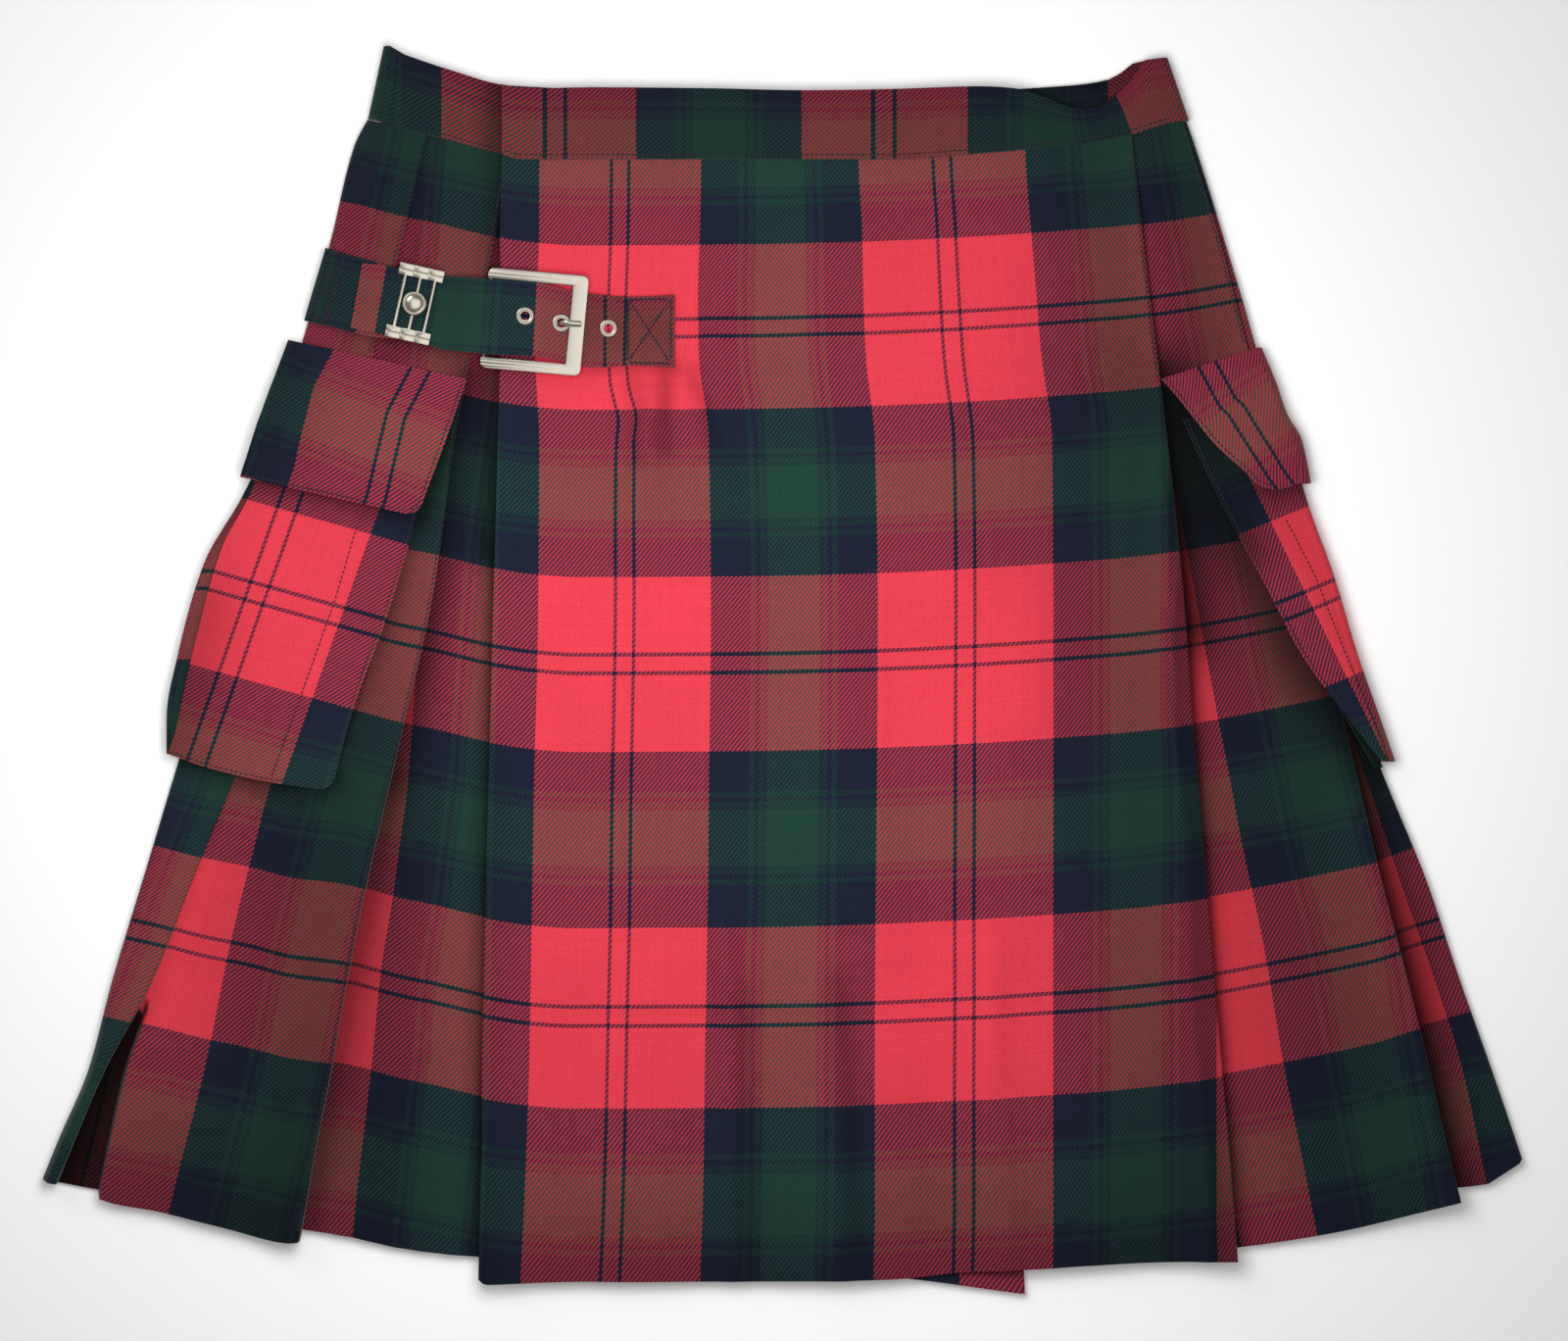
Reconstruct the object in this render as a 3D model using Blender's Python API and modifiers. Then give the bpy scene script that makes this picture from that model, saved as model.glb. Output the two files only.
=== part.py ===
"""A tartan utility kilt laid flat: wrapped and pleated cloth, waistband, two side pockets, hip strap and buckle."""
import bpy
import bmesh
import numpy as np
from math import atan2, cos, pi, radians, sin
from mathutils import Matrix, Vector
from mathutils.bvhtree import BVHTree

# Driving sizes, in millimetres
MM = 0.001
CLOTH = 1.0            # wall of the wool
GAP = 0.35             # air between two pieces or two layers
LAYER = CLOTH + GAP    # from the middle of one layer to the middle of the next
BAND = 3.0             # waistband: two layers with the skirt's edge between
FLAP = 1.5             # lined pocket flap
STRAP = 1.5            # hip strap's tail
BASE_STRAP = 1.2       # strap that carries the buckle
TURN_STEPS = 3         # flats round a folded edge

# Heights of the layers' middles, in millimetres above the floor
BACK = CLOTH / 2
BACK_RETURN = BACK + LAYER
BACK_INNER = BACK + 2 * LAYER
FRONT = BACK + 3 * LAYER + .5
FRONT_RETURN = FRONT + LAYER
FRONT_FACE = FRONT + 2 * LAYER
BAND_BACK = BAND / 2
BAND_SIDE = 6.6
BAND_OVER = BAND_SIDE + BAND + GAP

# Lines down the cloth: where each edge or fold lies, left to right, at each height of the laid kilt
LINES = {
    "height":      (285, 268, 220, 170, 120, 40, -40, -110, -160, -205, -240, -280, -320),
    "left_side":   (-211, -220, -232, -246, -261, -284, -308, -329, -344, -356, -371, -387, -402),
    "wrap_fold":   (-180, -184, -195, -208, -224, -249, -275, -303, -323, -347, -362, -378, -393),
    "wrap_under":  (-175, -179, -190, -203, -219, -244, -270, -298, -318, -335, -343, -351, -359),
    "side_fold":   (-135, -139, -148, -158, -168, -179, -197, -206, -215, -224, -233, -243, -253),
    "apron_edge":  (-144, -144, -145, -145, -146, -148, -150, -152, -153, -154, -154, -155, -156),
    "under_edge":  (98, 99, 101, 103, 105, 108, 111, 114, 116, 118, 119, 121, 123),
    "apron_fold":  (176, 178, 183, 189, 195, 203, 209, 215, 219, 223, 226, 229, 232),
    "right_fold":  (202, 207, 222, 235, 249, 269, 289, 305, 318, 329, 337, 347, 357),
    "right_side":  (204, 210, 225, 239.5, 253, 277, 301, 329, 346, 362, 374, 387, 400),
}

# Lines across the cloth: the waist seam, the waistband's top edge and the hems
WAIST_SEAM = {
    "across": (-213, -194, -178, -160, -145, -135, 50, 100, 150, 177, 197, 207),
    "height": (281, 276, 272, 267, 263, 260, 260, 263, 268, 273, 279, 280),
}
BAND_TOP = {
    "across": (-205, -189, -171, -141, -127, -98, -39, 9, 50, 120, 135, 150, 160, 169, 178, 184, 196),
    "height": (318, 312, 306, 299, 297, 297, 296, 294, 295, 296, 293, 287, 286, 292, 301, 311, 312),
}
BAND_TOP_BACK = {
    "across": (-205, -189, -171, -141, -98, 9, 50, 120, 150, 167, 181, 196),
    "height": (318, 312, 306, 298, 296, 293, 294, 297, 299, 302, 311, 312),
}
HEM_BACK = {
    "across": (-380, -360, -250, -150, 0, 150, 250, 340, 377),
    "height": (-260, -259, -280, -291, -299, -291, -279, -259, -250),
}
HEM_LEFT = {
    "across": (-380, -372, -364, -352, -349, -318, -293, -251, -246),
    "height": (-260, -262, -261, -263, -270, -277, -283, -292, -291),
}
HEM_UNDER = {
    "across": (-280, -246, -221, -199, -178, -156, 50, 122),
    "height": (-281, -286, -290, -295, -298, -300, -310, -319),
}
HEM_OVER = {
    "across": (-156, -152, -100, -41, 50, 97, 137, 150, 194, 232),
    "height": (-310, -313, -312, -312, -311, -307, -305, -304, -302, -301),
}
HEM_RIGHT = {
    "across": (190, 233, 283, 345),
    "height": (-299, -295, -287, -271),
}
HEM_RIGHT_INNER = {
    "across": (300, 340, 359, 363, 374, 377),
    "height": (-270, -265, -263, -260, -254, -250),
}

# How far down the length each row of the skirt's sections lies
ROWS = np.array((0, .04, .12, .22, .34, .46, .57, .67, .76, .84, .91, 1))
BACK_ROWS = np.array((0, .12, .34, .57, .8, 1))

# Back pleats: where their folds lie, from the right side to the left
BACK_FOLDS = (.16, .28, .40, .52, .64, .76, .88)
BACK_DEPTH = .034

# Pocket and flap outlines: down the height, the front edge and the back edge
POCKET_LEFT = {
    "height_far":  (140, 94, 60, 6, -31, -43),
    "far":         (-258, -270, -287, -302, -310, -314),
    "height_near": (118, 79, 62, 27, -16, -53),
    "near":        (-174, -187, -192, -203, -220, -231),
}
GUSSET_LEFT = {
    "height": (118, 87, 54, 9, -25, -43),
    "outer":  (-262, -277, -296, -309, -315, -315),
    "inner":  (-246, -256, -272, -286, -294, -297),
}
FLAP_LEFT = {
    "height_far":  (168, 98),
    "far":         (-253, -277),
    "height_near": (148, 78),
    "near":        (-162, -187),
}
POCKET_RIGHT = {
    "height_near": (128, 103, 76, 35, 8, -25, -46),
    "near":        (203, 214, 227, 249, 263, 287, 303.5),
    "height_side": (128, 103, 83, 47, 7, -27, -47),
    "side":        (254, 262, 268, 281, 293, 305, 312),
}
POCKET_RIGHT_WIDTH = 77
GUSSET_RIGHT = {
    "height": (95, 69, 35, 8, -25, -50),
    "outer":  (222, 235, 253, 267, 286, 301),
    "inner":  (238, 251, 268, 281, 296, 305),
}
FLAP_RIGHT = {
    "height_near": (148, 139, 114, 101, 94, 91),
    "near":        (192, 200, 220, 234, 241, 250),
    "height_side": (164, 146, 130, 118, 106, 95),
    "side":        (244, 251.5, 257, 264, 267, 269),
}
FLAP_RIGHT_WIDTH = 84

# Strap: stations from the left end to the right one
TAIL = {
    "top_x":    (-215, -200, -190, -178, -170, -162, -157, -150, -140, -126, -113, -104, -94, -79, -56),
    "top_y":    (207, 205, 203, 201, 200, 199.5, 199, 198.5, 198, 197, 194, 192, 191, 190, 191),
    "bottom_x": (-221, -206, -195, -183, -174, -166, -160, -153, -142, -128, -114, -103, -94, -80, -56),
    "bottom_y": (174, 171, 168.5, 166, 163, 162, 161.5, 160.5, 160, 159.5, 157, 154.5, 154, 155, 154),
    "level":    (10.9, 10.9, 11.0, 11.0, 11.3, 13.1, 14.6, 15.1, 14.2, 12.7, 11.2, 10.2, 9.5, 8.95, 8.8),
}
BASE = {
    "top_x":    (-234, -221, -208, -190, -172, -160),
    "top_y":    (215, 211, 207.5, 202.5, 198.5, 197.5),
    "bottom_x": (-245, -232, -212, -194, -176, -163),
    "bottom_y": (178, 175, 170, 168, 165, 162.5),
    "level":    (8.0, 9.25, 9.3, 9.3, 9.3, 9.3),
}
BAR_X = -151.5
BAR_LEVEL = 11.35
BAR_RADIUS = 0.8

# Buckle, keeper and eyelets
BUCKLE_CENTRE = (-127.2, 176.9)
BUCKLE_TURN = radians(-5.3)
BUCKLE_WIDE = 51.5
BUCKLE_HIGH = 51.3
BUCKLE_BAR_END = 7.2
BUCKLE_BAR_LONG = 5.5
BUCKLE_THICK = 1.8
BUCKLE_RIGHT_LEVEL = 13.1
KEEPER_CENTRE = (-188.1, 186.0)
KEEPER_TURN = radians(-12.5)
KEEPER_WIDE = 23.0
KEEPER_HIGH = 38.5
KEEPER_BAR = 6.0
KEEPER_ROD = 1.8
KEEPER_RODS = (-7.7, 0.0, 7.7)
KEEPER_LOW = 12.15
KEEPER_THICK = 1.9
STUD_RADIUS = 6.1
STUD_HIGH = 2.6
EYELETS = ((-132.0, 179.7), (-113.7, 176.3), (-89.7, 173.7))
EYELET_OUTER = 4.7
EYELET_INNER = 2.5
EYELET_BARREL = 3.1
PRONG_WIDE = 3.2
PRONG_THICK = 1.5
PRONG_PATH = ((-149.0, 11.1), (-140, 10.7), (-125, 9.7), (-118.5, 9.2), (-115.6, 9.25), (-114.6, 10.1),
              (-113.0, 13.7), (-112.1, 14.9), (-110.4, 15.5), (-105, 15.6), (-103.4, 15.3))

MATERIALS = {
    "tartan_wool":  ((0.33, 0.05, 0.07, 1), 0.85, 0.0),
    "strap_wool": ((0.05, 0.07, 0.08, 1), 0.85, 0.0),
    "pale_metal":  ((0.78, 0.74, 0.66, 1), 0.25, 1.0),
}


# Scene, collections and materials

for old in list(bpy.data.objects):
    bpy.data.objects.remove(old)

kilt = bpy.data.collections.new("kilt")
cutters = bpy.data.collections.new("cutters")
bpy.context.scene.collection.children.link(kilt)
bpy.context.scene.collection.children.link(cutters)

material = {}
for label, (colour, roughness, metallic) in MATERIALS.items():
    made = bpy.data.materials.new(label)
    made.use_nodes = True
    shader = made.node_tree.nodes["Principled BSDF"]
    shader.inputs["Base Color"].default_value = colour
    shader.inputs["Roughness"].default_value = roughness
    shader.inputs["Metallic"].default_value = metallic
    material[label] = made


def add_solid(name, points, faces, finish, collection=None):
    """Make a closed mesh object from points in millimetres, with its faces turned out."""
    mesh = bpy.data.meshes.new(name)
    mesh.from_pydata([Vector(p) * MM for p in points], [], faces)
    shape = bmesh.new()
    shape.from_mesh(mesh)
    bmesh.ops.recalc_face_normals(shape, faces=shape.faces)
    shape.to_mesh(mesh)
    shape.free()
    mesh.materials.append(material[finish])
    solid = bpy.data.objects.new(name, mesh)
    (collection or kilt).objects.link(solid)
    return solid


def cut(solid, cutter):
    """Take the cutter out of the solid."""
    cutter.hide_render = True
    cutter.display_type = "WIRE"
    boolean = solid.modifiers.new("cut", "BOOLEAN")
    boolean.operation = "DIFFERENCE"
    boolean.solver = "EXACT"
    boolean.object = cutter


# Curves read from the tables

def along(table, key, value):
    """Read a table column by another one, straight between its rows."""
    keys = np.array(table[key], float)
    values = np.array(table[value], float)
    order = np.argsort(keys)
    return lambda at: np.interp(at, keys[order], values[order])


def line(name):
    """One of the named lines down the cloth, as a function of height."""
    return along(LINES, "height", name)


def beside(base, step):
    """A line a step to the right of another; the step may change with the height."""
    if callable(step):
        return lambda y: base(y) + step(y)
    return lambda y: base(y) + step


def between(first, second, share):
    """A line that lies a share of the way from one line to another."""
    return lambda y: first(y) * (1 - share) + second(y) * share


def smooth(value, low, high):
    """Go softly from 0 at low to 1 at high."""
    t = np.clip((np.asarray(value, float) - low) / (high - low), 0, 1)
    return t * t * (3 - 2 * t)


left_side = line("left_side")
wrap_fold = line("wrap_fold")
wrap_under = line("wrap_under")
side_fold = line("side_fold")
apron_edge = line("apron_edge")
under_edge = line("under_edge")
apron_fold = line("apron_fold")
right_fold = line("right_fold")
right_side = line("right_side")

seam_height = along(WAIST_SEAM, "across", "height")


def settle(edge, curve, start):
    """Find the height at which a line down the cloth meets a curve across it."""
    y = start
    for _ in range(6):
        y = float(curve(edge(y)))
    return y


class Path:
    """The cloth's middle line across the kilt, at every row down its length."""

    def __init__(self, hem, rows=ROWS, top=seam_height, drop=.6):
        self.hem = hem
        self.rows = rows
        self.top = top
        self.drop = drop
        self.points = []

    def heights(self, edge, hem=None):
        """Heights of a line's points, evenly shared between the waist seam and the hem."""
        curve = along(hem or self.hem, "across", "height")
        top = settle(edge, self.top, 270) - self.drop
        bottom = settle(edge, curve, -290)
        return top + (bottom - top) * self.rows

    def at(self, edge, level, hem=None):
        """Pass through a line at a level, which may change with the height."""
        y = self.heights(edge, hem)
        z = level(y) if callable(level) else np.full(len(y), float(level))
        self.points.append(np.column_stack([edge(y), y, z]))
        return self

    def turn(self, edge, start, end, facing, wall=CLOTH, hem=None):
        """Fold back at a line, with the fold's outer face on it; facing is 1 to the right."""
        y = self.heights(edge, hem)
        first = start(y) if callable(start) else np.full(len(y), float(start))
        last = end(y) if callable(end) else np.full(len(y), float(end))
        radius = np.abs(last - first) / 2
        middle = (first + last) / 2
        centre = edge(y) - facing * (radius + wall / 2)
        way = np.sign(last - first)
        for step in range(TURN_STEPS + 1):
            angle = -pi / 2 + pi * step / TURN_STEPS
            x = centre + facing * radius * cos(angle)
            z = middle + way * radius * sin(angle)
            self.points.append(np.column_stack([x, y, z]))
        return self

    def sections(self):
        return np.stack(self.points, axis=1)


def thicken(sections, wall):
    """Give each section, a line in the upright plane, its wall on both sides."""
    step = np.diff(sections[:, :, [0, 2]], axis=1)
    step /= np.linalg.norm(step, axis=2, keepdims=True)
    before = np.concatenate([step[:, :1], step], axis=1)
    after = np.concatenate([step, step[:, -1:]], axis=1)
    tangent = before + after
    tangent /= np.linalg.norm(tangent, axis=2, keepdims=True)
    spread = 1 / np.clip((tangent * after).sum(axis=2), .62, 1)
    offset = np.stack([-tangent[:, :, 1], np.zeros(tangent.shape[:2]), tangent[:, :, 0]], axis=2)
    offset = offset * (wall / 2) * spread[:, :, None]
    return sections + offset, sections - offset


def sheet_between(name, upper, lower, finish):
    """Close two grids of points, of one size, into a solid sheet."""
    rows, columns = upper.shape[:2]
    points = np.concatenate([upper.reshape(-1, 3), lower.reshape(-1, 3)])
    under = rows * columns
    faces = []
    for i in range(rows - 1):
        for j in range(columns - 1):
            a, b = i * columns + j, i * columns + j + 1
            c, d = a + columns, b + columns
            faces.append((a, b, d, c))
            faces.append((under + a, under + c, under + d, under + b))
    ring = [j for j in range(columns)]
    ring += [i * columns + columns - 1 for i in range(1, rows)]
    ring += [(rows - 1) * columns + j for j in range(columns - 2, -1, -1)]
    ring += [i * columns for i in range(rows - 2, 0, -1)]
    for a, b in zip(ring, ring[1:] + ring[:1]):
        faces.append((a, under + a, under + b, b))
    return add_solid(name, points, faces, finish)


def cloth_piece(name, sections, wall, finish):
    """A sheet of cloth round its middle surface."""
    upper, lower = thicken(sections, wall)
    return sheet_between(name, upper, lower, finish)


# Pleated skirt, one strip of cloth from the over apron round to the under apron

def back_fold(number):
    """The line of a back pleat's fold, counted from the right side."""
    return between(right_side, left_side, BACK_FOLDS[number])


def back_depth(y):
    """How deep a back pleat is tucked, a share of the kilt's width at that height."""
    return BACK_DEPTH * (right_side(y) - left_side(y))


def pocket_lift(y):
    """Height of the right side's back layer, raised where the right pocket wraps under it."""
    return BACK + (BACK_INNER + .5 - BACK) * smooth(y, -150, -100) * (1 - smooth(y, 180, 215))


def apron_level(share):
    """The over apron's height across its width, from its free edge to its fold."""
    def level(y):
        y = np.asarray(y, float)
        top = smooth(y, 215, 255)
        free = FRONT + LAYER + .9
        middle = FRONT + LAYER + .35
        low = free + (middle - free) * smooth(share, 0, .3)
        low = low + (FRONT_FACE - low) * smooth(share, .78, .9)
        high = BAND_OVER - .3 + (FRONT_FACE - BAND_OVER + .3) * smooth(share, .8, .92)
        return low + (high - low) * top
    return level


over = Path(HEM_OVER)
for share in (0, .05, .14, .26, .4, .54, .66, .77, .86, .92):
    over.at(between(apron_edge, apron_fold, share), apron_level(share))
over.turn(apron_fold, FRONT_FACE, FRONT_RETURN, 1)
over.at(beside(apron_fold, -20), FRONT_RETURN)
cloth_piece("over_apron", over.sections(), CLOTH, "tartan_wool")


def right_depth(y):
    """How deep the right front pleat is tucked under its fold."""
    return np.minimum(32, right_fold(y) - apron_fold(y) - 11)


right = Path(HEM_RIGHT)
right.at(beside(apron_fold, -20.8), FRONT_RETURN)
right.turn(beside(apron_fold, -34), FRONT_RETURN, FRONT, -1)
right.at(beside(apron_fold, -1), FRONT)
for share, rise in ((.35, .45), (.7, .9)):
    inner = beside(right_fold, lambda y: -right_depth(y) - 1)
    right.at(between(apron_fold, inner, share), FRONT + (FRONT_FACE - FRONT) * rise)
right.at(beside(right_fold, lambda y: -right_depth(y) - 1), FRONT_FACE)
right.at(beside(right_fold, lambda y: -right_depth(y) * .5), FRONT_FACE)
right.turn(right_fold, FRONT_FACE, FRONT_RETURN, 1)
inner_fold = beside(right_fold, lambda y: -right_depth(y))
right.turn(inner_fold, FRONT_RETURN, FRONT, -1, hem=HEM_RIGHT_INNER)
right.at(between(inner_fold, right_side, .5), FRONT, hem=HEM_RIGHT_INNER)
right.turn(right_side, FRONT, pocket_lift, 1, hem=HEM_RIGHT_INNER)
first_fold = back_fold(0)
tuck_end = beside(first_fold, back_depth)
right.at(between(right_side, tuck_end, .45), pocket_lift, hem=HEM_BACK)
right.at(beside(first_fold, lambda y: back_depth(y) + 11), pocket_lift, hem=HEM_BACK)
right.at(beside(first_fold, lambda y: back_depth(y) + 5), BACK, hem=HEM_BACK)
right.turn(first_fold, BACK, BACK_RETURN, -1, hem=HEM_BACK)
right.at(beside(first_fold, lambda y: back_depth(y) * .4), BACK_RETURN, hem=HEM_BACK)
cloth_piece("right_side_panel", right.sections(), CLOTH, "tartan_wool")

back = Path(HEM_BACK, BACK_ROWS, drop=1.6)
back.at(beside(first_fold, lambda y: back_depth(y) * .4 + 3), BACK_RETURN)
for number in range(len(BACK_FOLDS)):
    fold = back_fold(number)
    if number:
        back.turn(fold, BACK, BACK_RETURN, -1)
    if number < len(BACK_FOLDS) - 1:
        back.turn(beside(fold, back_depth), BACK_RETURN, BACK_INNER, 1)
        back.at(beside(fold, -3), BACK_INNER)
        back.at(beside(fold, -13), BACK)
last_fold = back_fold(len(BACK_FOLDS) - 1)
back.at(beside(last_fold, lambda y: back_depth(y) * .4), BACK_RETURN)
cloth_piece("back_panel", back.sections(), CLOTH, "tartan_wool")


def side_depth(y):
    """How deep the left side pleat is tucked under its fold."""
    return np.minimum(36, side_fold(y) - wrap_fold(y) - 11)


def wrap_depth(y):
    """How deep the left wrap pleat is tucked; at the hem the pleat stands open."""
    return np.clip(wrap_fold(y) - left_side(y) - 12, 2.7, 20)


def wrap_level(y):
    """Height of the wrap pleat where it comes round the left side."""
    return FRONT + (FRONT_FACE - FRONT) * smooth(-np.asarray(y, float), 90, 160)


def ridge_level(y):
    """Height of the side pleat's left edge, which stands clear where the wrap pleat opens."""
    return FRONT + 2.2 * smooth(-np.asarray(y, float), 150, 200)


left = Path(HEM_LEFT)
left.at(beside(last_fold, lambda y: back_depth(y) * .4 + 3), BACK_RETURN, hem=HEM_BACK)
left.turn(beside(last_fold, back_depth), BACK_RETURN, BACK_INNER, 1, hem=HEM_BACK)
left.at(beside(last_fold, -3), BACK_INNER, hem=HEM_BACK)
left.at(beside(last_fold, -13), BACK, hem=HEM_BACK)
left.at(between(last_fold, left_side, .6), BACK, hem=HEM_BACK)
left.turn(left_side, BACK, wrap_level, -1)
wrap_inner = beside(wrap_fold, lambda y: -wrap_depth(y))
wrap_end = beside(wrap_fold, lambda y: -np.minimum(wrap_depth(y) + 1.5, (wrap_fold(y) - left_side(y) - 4) * .8))
left.at(wrap_end, FRONT_FACE)
left.turn(wrap_fold, FRONT_FACE, FRONT_RETURN, 1)
left.turn(wrap_inner, FRONT_RETURN, FRONT, -1)
left.at(beside(wrap_under, -3), FRONT)
left.at(wrap_under, ridge_level)
side_rise = beside(side_fold, lambda y: -side_depth(y) - 1)
left.at(between(wrap_under, side_rise, .3), lambda y: FRONT + .5 + .5 * (ridge_level(y) - FRONT))
left.at(between(wrap_under, side_rise, .68), FRONT + 1.5)
left.at(side_rise, FRONT_FACE)
left.at(beside(side_fold, lambda y: -side_depth(y) * .5), FRONT_FACE)
left.turn(side_fold, FRONT_FACE, FRONT_RETURN, 1)
left.at(beside(side_fold, lambda y: -side_depth(y) * .4), FRONT_RETURN)
cloth_piece("left_side_panel", left.sections(), CLOTH, "tartan_wool")

under = Path(HEM_UNDER, drop=1.6)
under.at(beside(side_fold, lambda y: -side_depth(y) * .4 - .8), FRONT_RETURN)
under.turn(beside(side_fold, lambda y: -side_depth(y)), FRONT_RETURN, FRONT, -1)
under.at(beside(side_fold, 1.5), FRONT)
for share in (.12, .3, .5, .75, 1):
    under.at(between(beside(side_fold, 1.5), under_edge, share), FRONT)
cloth_piece("under_apron", under.sections(), CLOTH, "tartan_wool")


# Waistband, one strip from the over apron's end round the back to the under apron's end

def band_row(x, level, top_table):
    """A station of the band: its lower and upper point at one place across."""
    low = float(seam_height(x))
    high = float(along(top_table, "across", "height")(x))
    return x, low, high, level


BAND_STATIONS = [band_row(x, z, BAND_TOP) for x, z in (
    (-144, BAND_OVER), (-110, BAND_OVER), (-50, BAND_OVER), (10, BAND_OVER), (60, BAND_OVER), (104, BAND_OVER),
    (128, 8.6), (142, 7.4), (150, 7.0), (160, BAND_SIDE), (169, BAND_SIDE), (177, BAND_SIDE), (190, BAND_SIDE))]
BAND_BACKS = [band_row(x, BAND_BACK, BAND_TOP_BACK) for x in (190, 177, 150, 120, 50, -40, -135, -145, -160, -178, -194)]
BAND_LEFTS = [band_row(x, BAND_SIDE, BAND_TOP_BACK) for x in (-194, -178, -160, -145, -135, -98, 0, 99)]
BAND_CORNERS = {"right": ((207, 280), (196, 312)), "left": ((-213, 281), (-205, 318))}


def band_sections():
    """Three rows of the band, low, middle and high, round its whole way."""
    rows = []
    for share in (0, .5, 1):
        row = [(x, low + (high - low) * share, z) for x, low, high, z in BAND_STATIONS]
        row += band_corner("right", share, 1, BAND_SIDE, BAND_BACK)
        row += [(x, low + (high - low) * share, z) for x, low, high, z in BAND_BACKS]
        row += band_corner("left", share, -1, BAND_BACK, BAND_SIDE)
        row += [(x, low + (high - low) * share, z) for x, low, high, z in BAND_LEFTS]
        rows.append(row)
    return np.array(rows, float)


def band_corner(side, share, facing, start, end):
    """The band's fold at one side of the laid kilt."""
    (low_x, low_y), (high_x, high_y) = BAND_CORNERS[side]
    x = low_x + (high_x - low_x) * share
    y = low_y + (high_y - low_y) * share
    radius = abs(end - start) / 2
    centre = x - facing * (radius + BAND / 2)
    way = 1 if end > start else -1
    turn = []
    for step in range(TURN_STEPS + 1):
        angle = -pi / 2 + pi * step / TURN_STEPS
        turn.append((centre + facing * radius * cos(angle), y, (start + end) / 2 + way * radius * sin(angle)))
    return turn


cloth_piece("waistband", band_sections(), BAND, "tartan_wool")


# Resting one piece on those below it

class Pile:
    """The solids laid so far, asked for their highest point under a place."""

    def __init__(self):
        self.trees = []
        self.known = set()

    def refresh(self):
        for solid in kilt.objects:
            if solid.name in self.known:
                continue
            self.known.add(solid.name)
            points = [v.co / MM for v in solid.data.vertices]
            faces = [tuple(f.vertices) for f in solid.data.polygons]
            self.trees.append(BVHTree.FromPolygons(points, faces))

    def top(self, x, y, reach, missing):
        """Highest point within reach of a place."""
        best = missing
        ring = [(0, 0)] + [(reach * cos(a), reach * sin(a)) for a in np.arange(8) * pi / 4]
        for dx, dy in ring:
            for tree in self.trees:
                hit = tree.ray_cast(Vector((x + dx, y + dy, 100)), Vector((0, 0, -1)))[0]
                if hit is not None:
                    best = max(best, hit.z)
        return best


pile = Pile()


def rest(grid_x, grid_y, wall, missing, reach=6.0, slack=8):
    """Middle heights of a sheet laid over the pile: it touches what is high and spans what is low."""
    pile.refresh()
    base = np.array([[pile.top(x, y, reach, missing) for x, y in zip(rx, ry)] for rx, ry in zip(grid_x, grid_y)])
    base = base + GAP + wall / 2
    level = base.copy()
    for _ in range(slack):
        padded = np.pad(level, 1, mode="edge")
        mean = (padded[:-2, 1:-1] + padded[2:, 1:-1] + padded[1:-1, :-2] + padded[1:-1, 2:]) / 4
        level = np.maximum(base, mean)
    return level


def patch(table, first, second, rows, columns):
    """A grid of places between two edges of an outline, row by row from the top."""
    share = np.linspace(0, 1, rows)
    edges = []
    for side in (first, second):
        heights = np.array(table["height_" + side], float)
        across = np.array(table[side], float)
        way = np.concatenate([[0], np.cumsum(np.hypot(np.diff(heights), np.diff(across)))])
        edges.append((np.interp(share * way[-1], way, across), np.interp(share * way[-1], way, heights)))
    (ax, ay), (bx, by) = edges
    t = np.linspace(0, 1, columns)[None, :]
    return ax[:, None] * (1 - t) + bx[:, None] * t, ay[:, None] * (1 - t) + by[:, None] * t


def flat_walls(grid_x, grid_y, level, wall):
    """Upper and lower face of a sheet that lies nearly level."""
    upper = np.stack([grid_x, grid_y, level + wall / 2], axis=2)
    lower = np.stack([grid_x, grid_y, level - wall / 2], axis=2)
    return upper, lower


# Pocket gussets, folded strips under the pockets' open edges

def gusset(name, table, facing, missing, rows=9):
    """A strip folded lengthwise, its fold on the outer line."""
    height = np.array(table["height"], float)
    y = np.linspace(height[0], height[-1], rows)
    outer = along(table, "height", "outer")(y)
    inner = along(table, "height", "inner")(y)
    share = np.array((0, .5, 1))[None, :]
    grid_x = inner[:, None] * (1 - share) + outer[:, None] * share
    grid_y = np.repeat(y[:, None], 3, axis=1)
    level = rest(grid_x, grid_y, CLOTH, missing).max(axis=1)
    path = []
    for x_share in (0, .55):
        x = inner + (outer - inner) * x_share
        path.append(np.column_stack([x, y, level]))
    centre = outer - facing * (LAYER / 2 + CLOTH / 2)
    for step in range(TURN_STEPS + 1):
        angle = -pi / 2 + pi * step / TURN_STEPS
        x = centre + facing * LAYER / 2 * cos(angle)
        path.append(np.column_stack([x, y, level + LAYER / 2 + LAYER / 2 * sin(angle)]))
    for x_share in (.55, 0):
        x = inner + (outer - inner) * x_share
        path.append(np.column_stack([x, y, level + LAYER]))
    cloth_piece(name, np.stack(path, axis=1), CLOTH, "strap_wool")


gusset("left_pocket_gusset", GUSSET_LEFT, -1, 6.5)


# Left pocket front and flap

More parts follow.
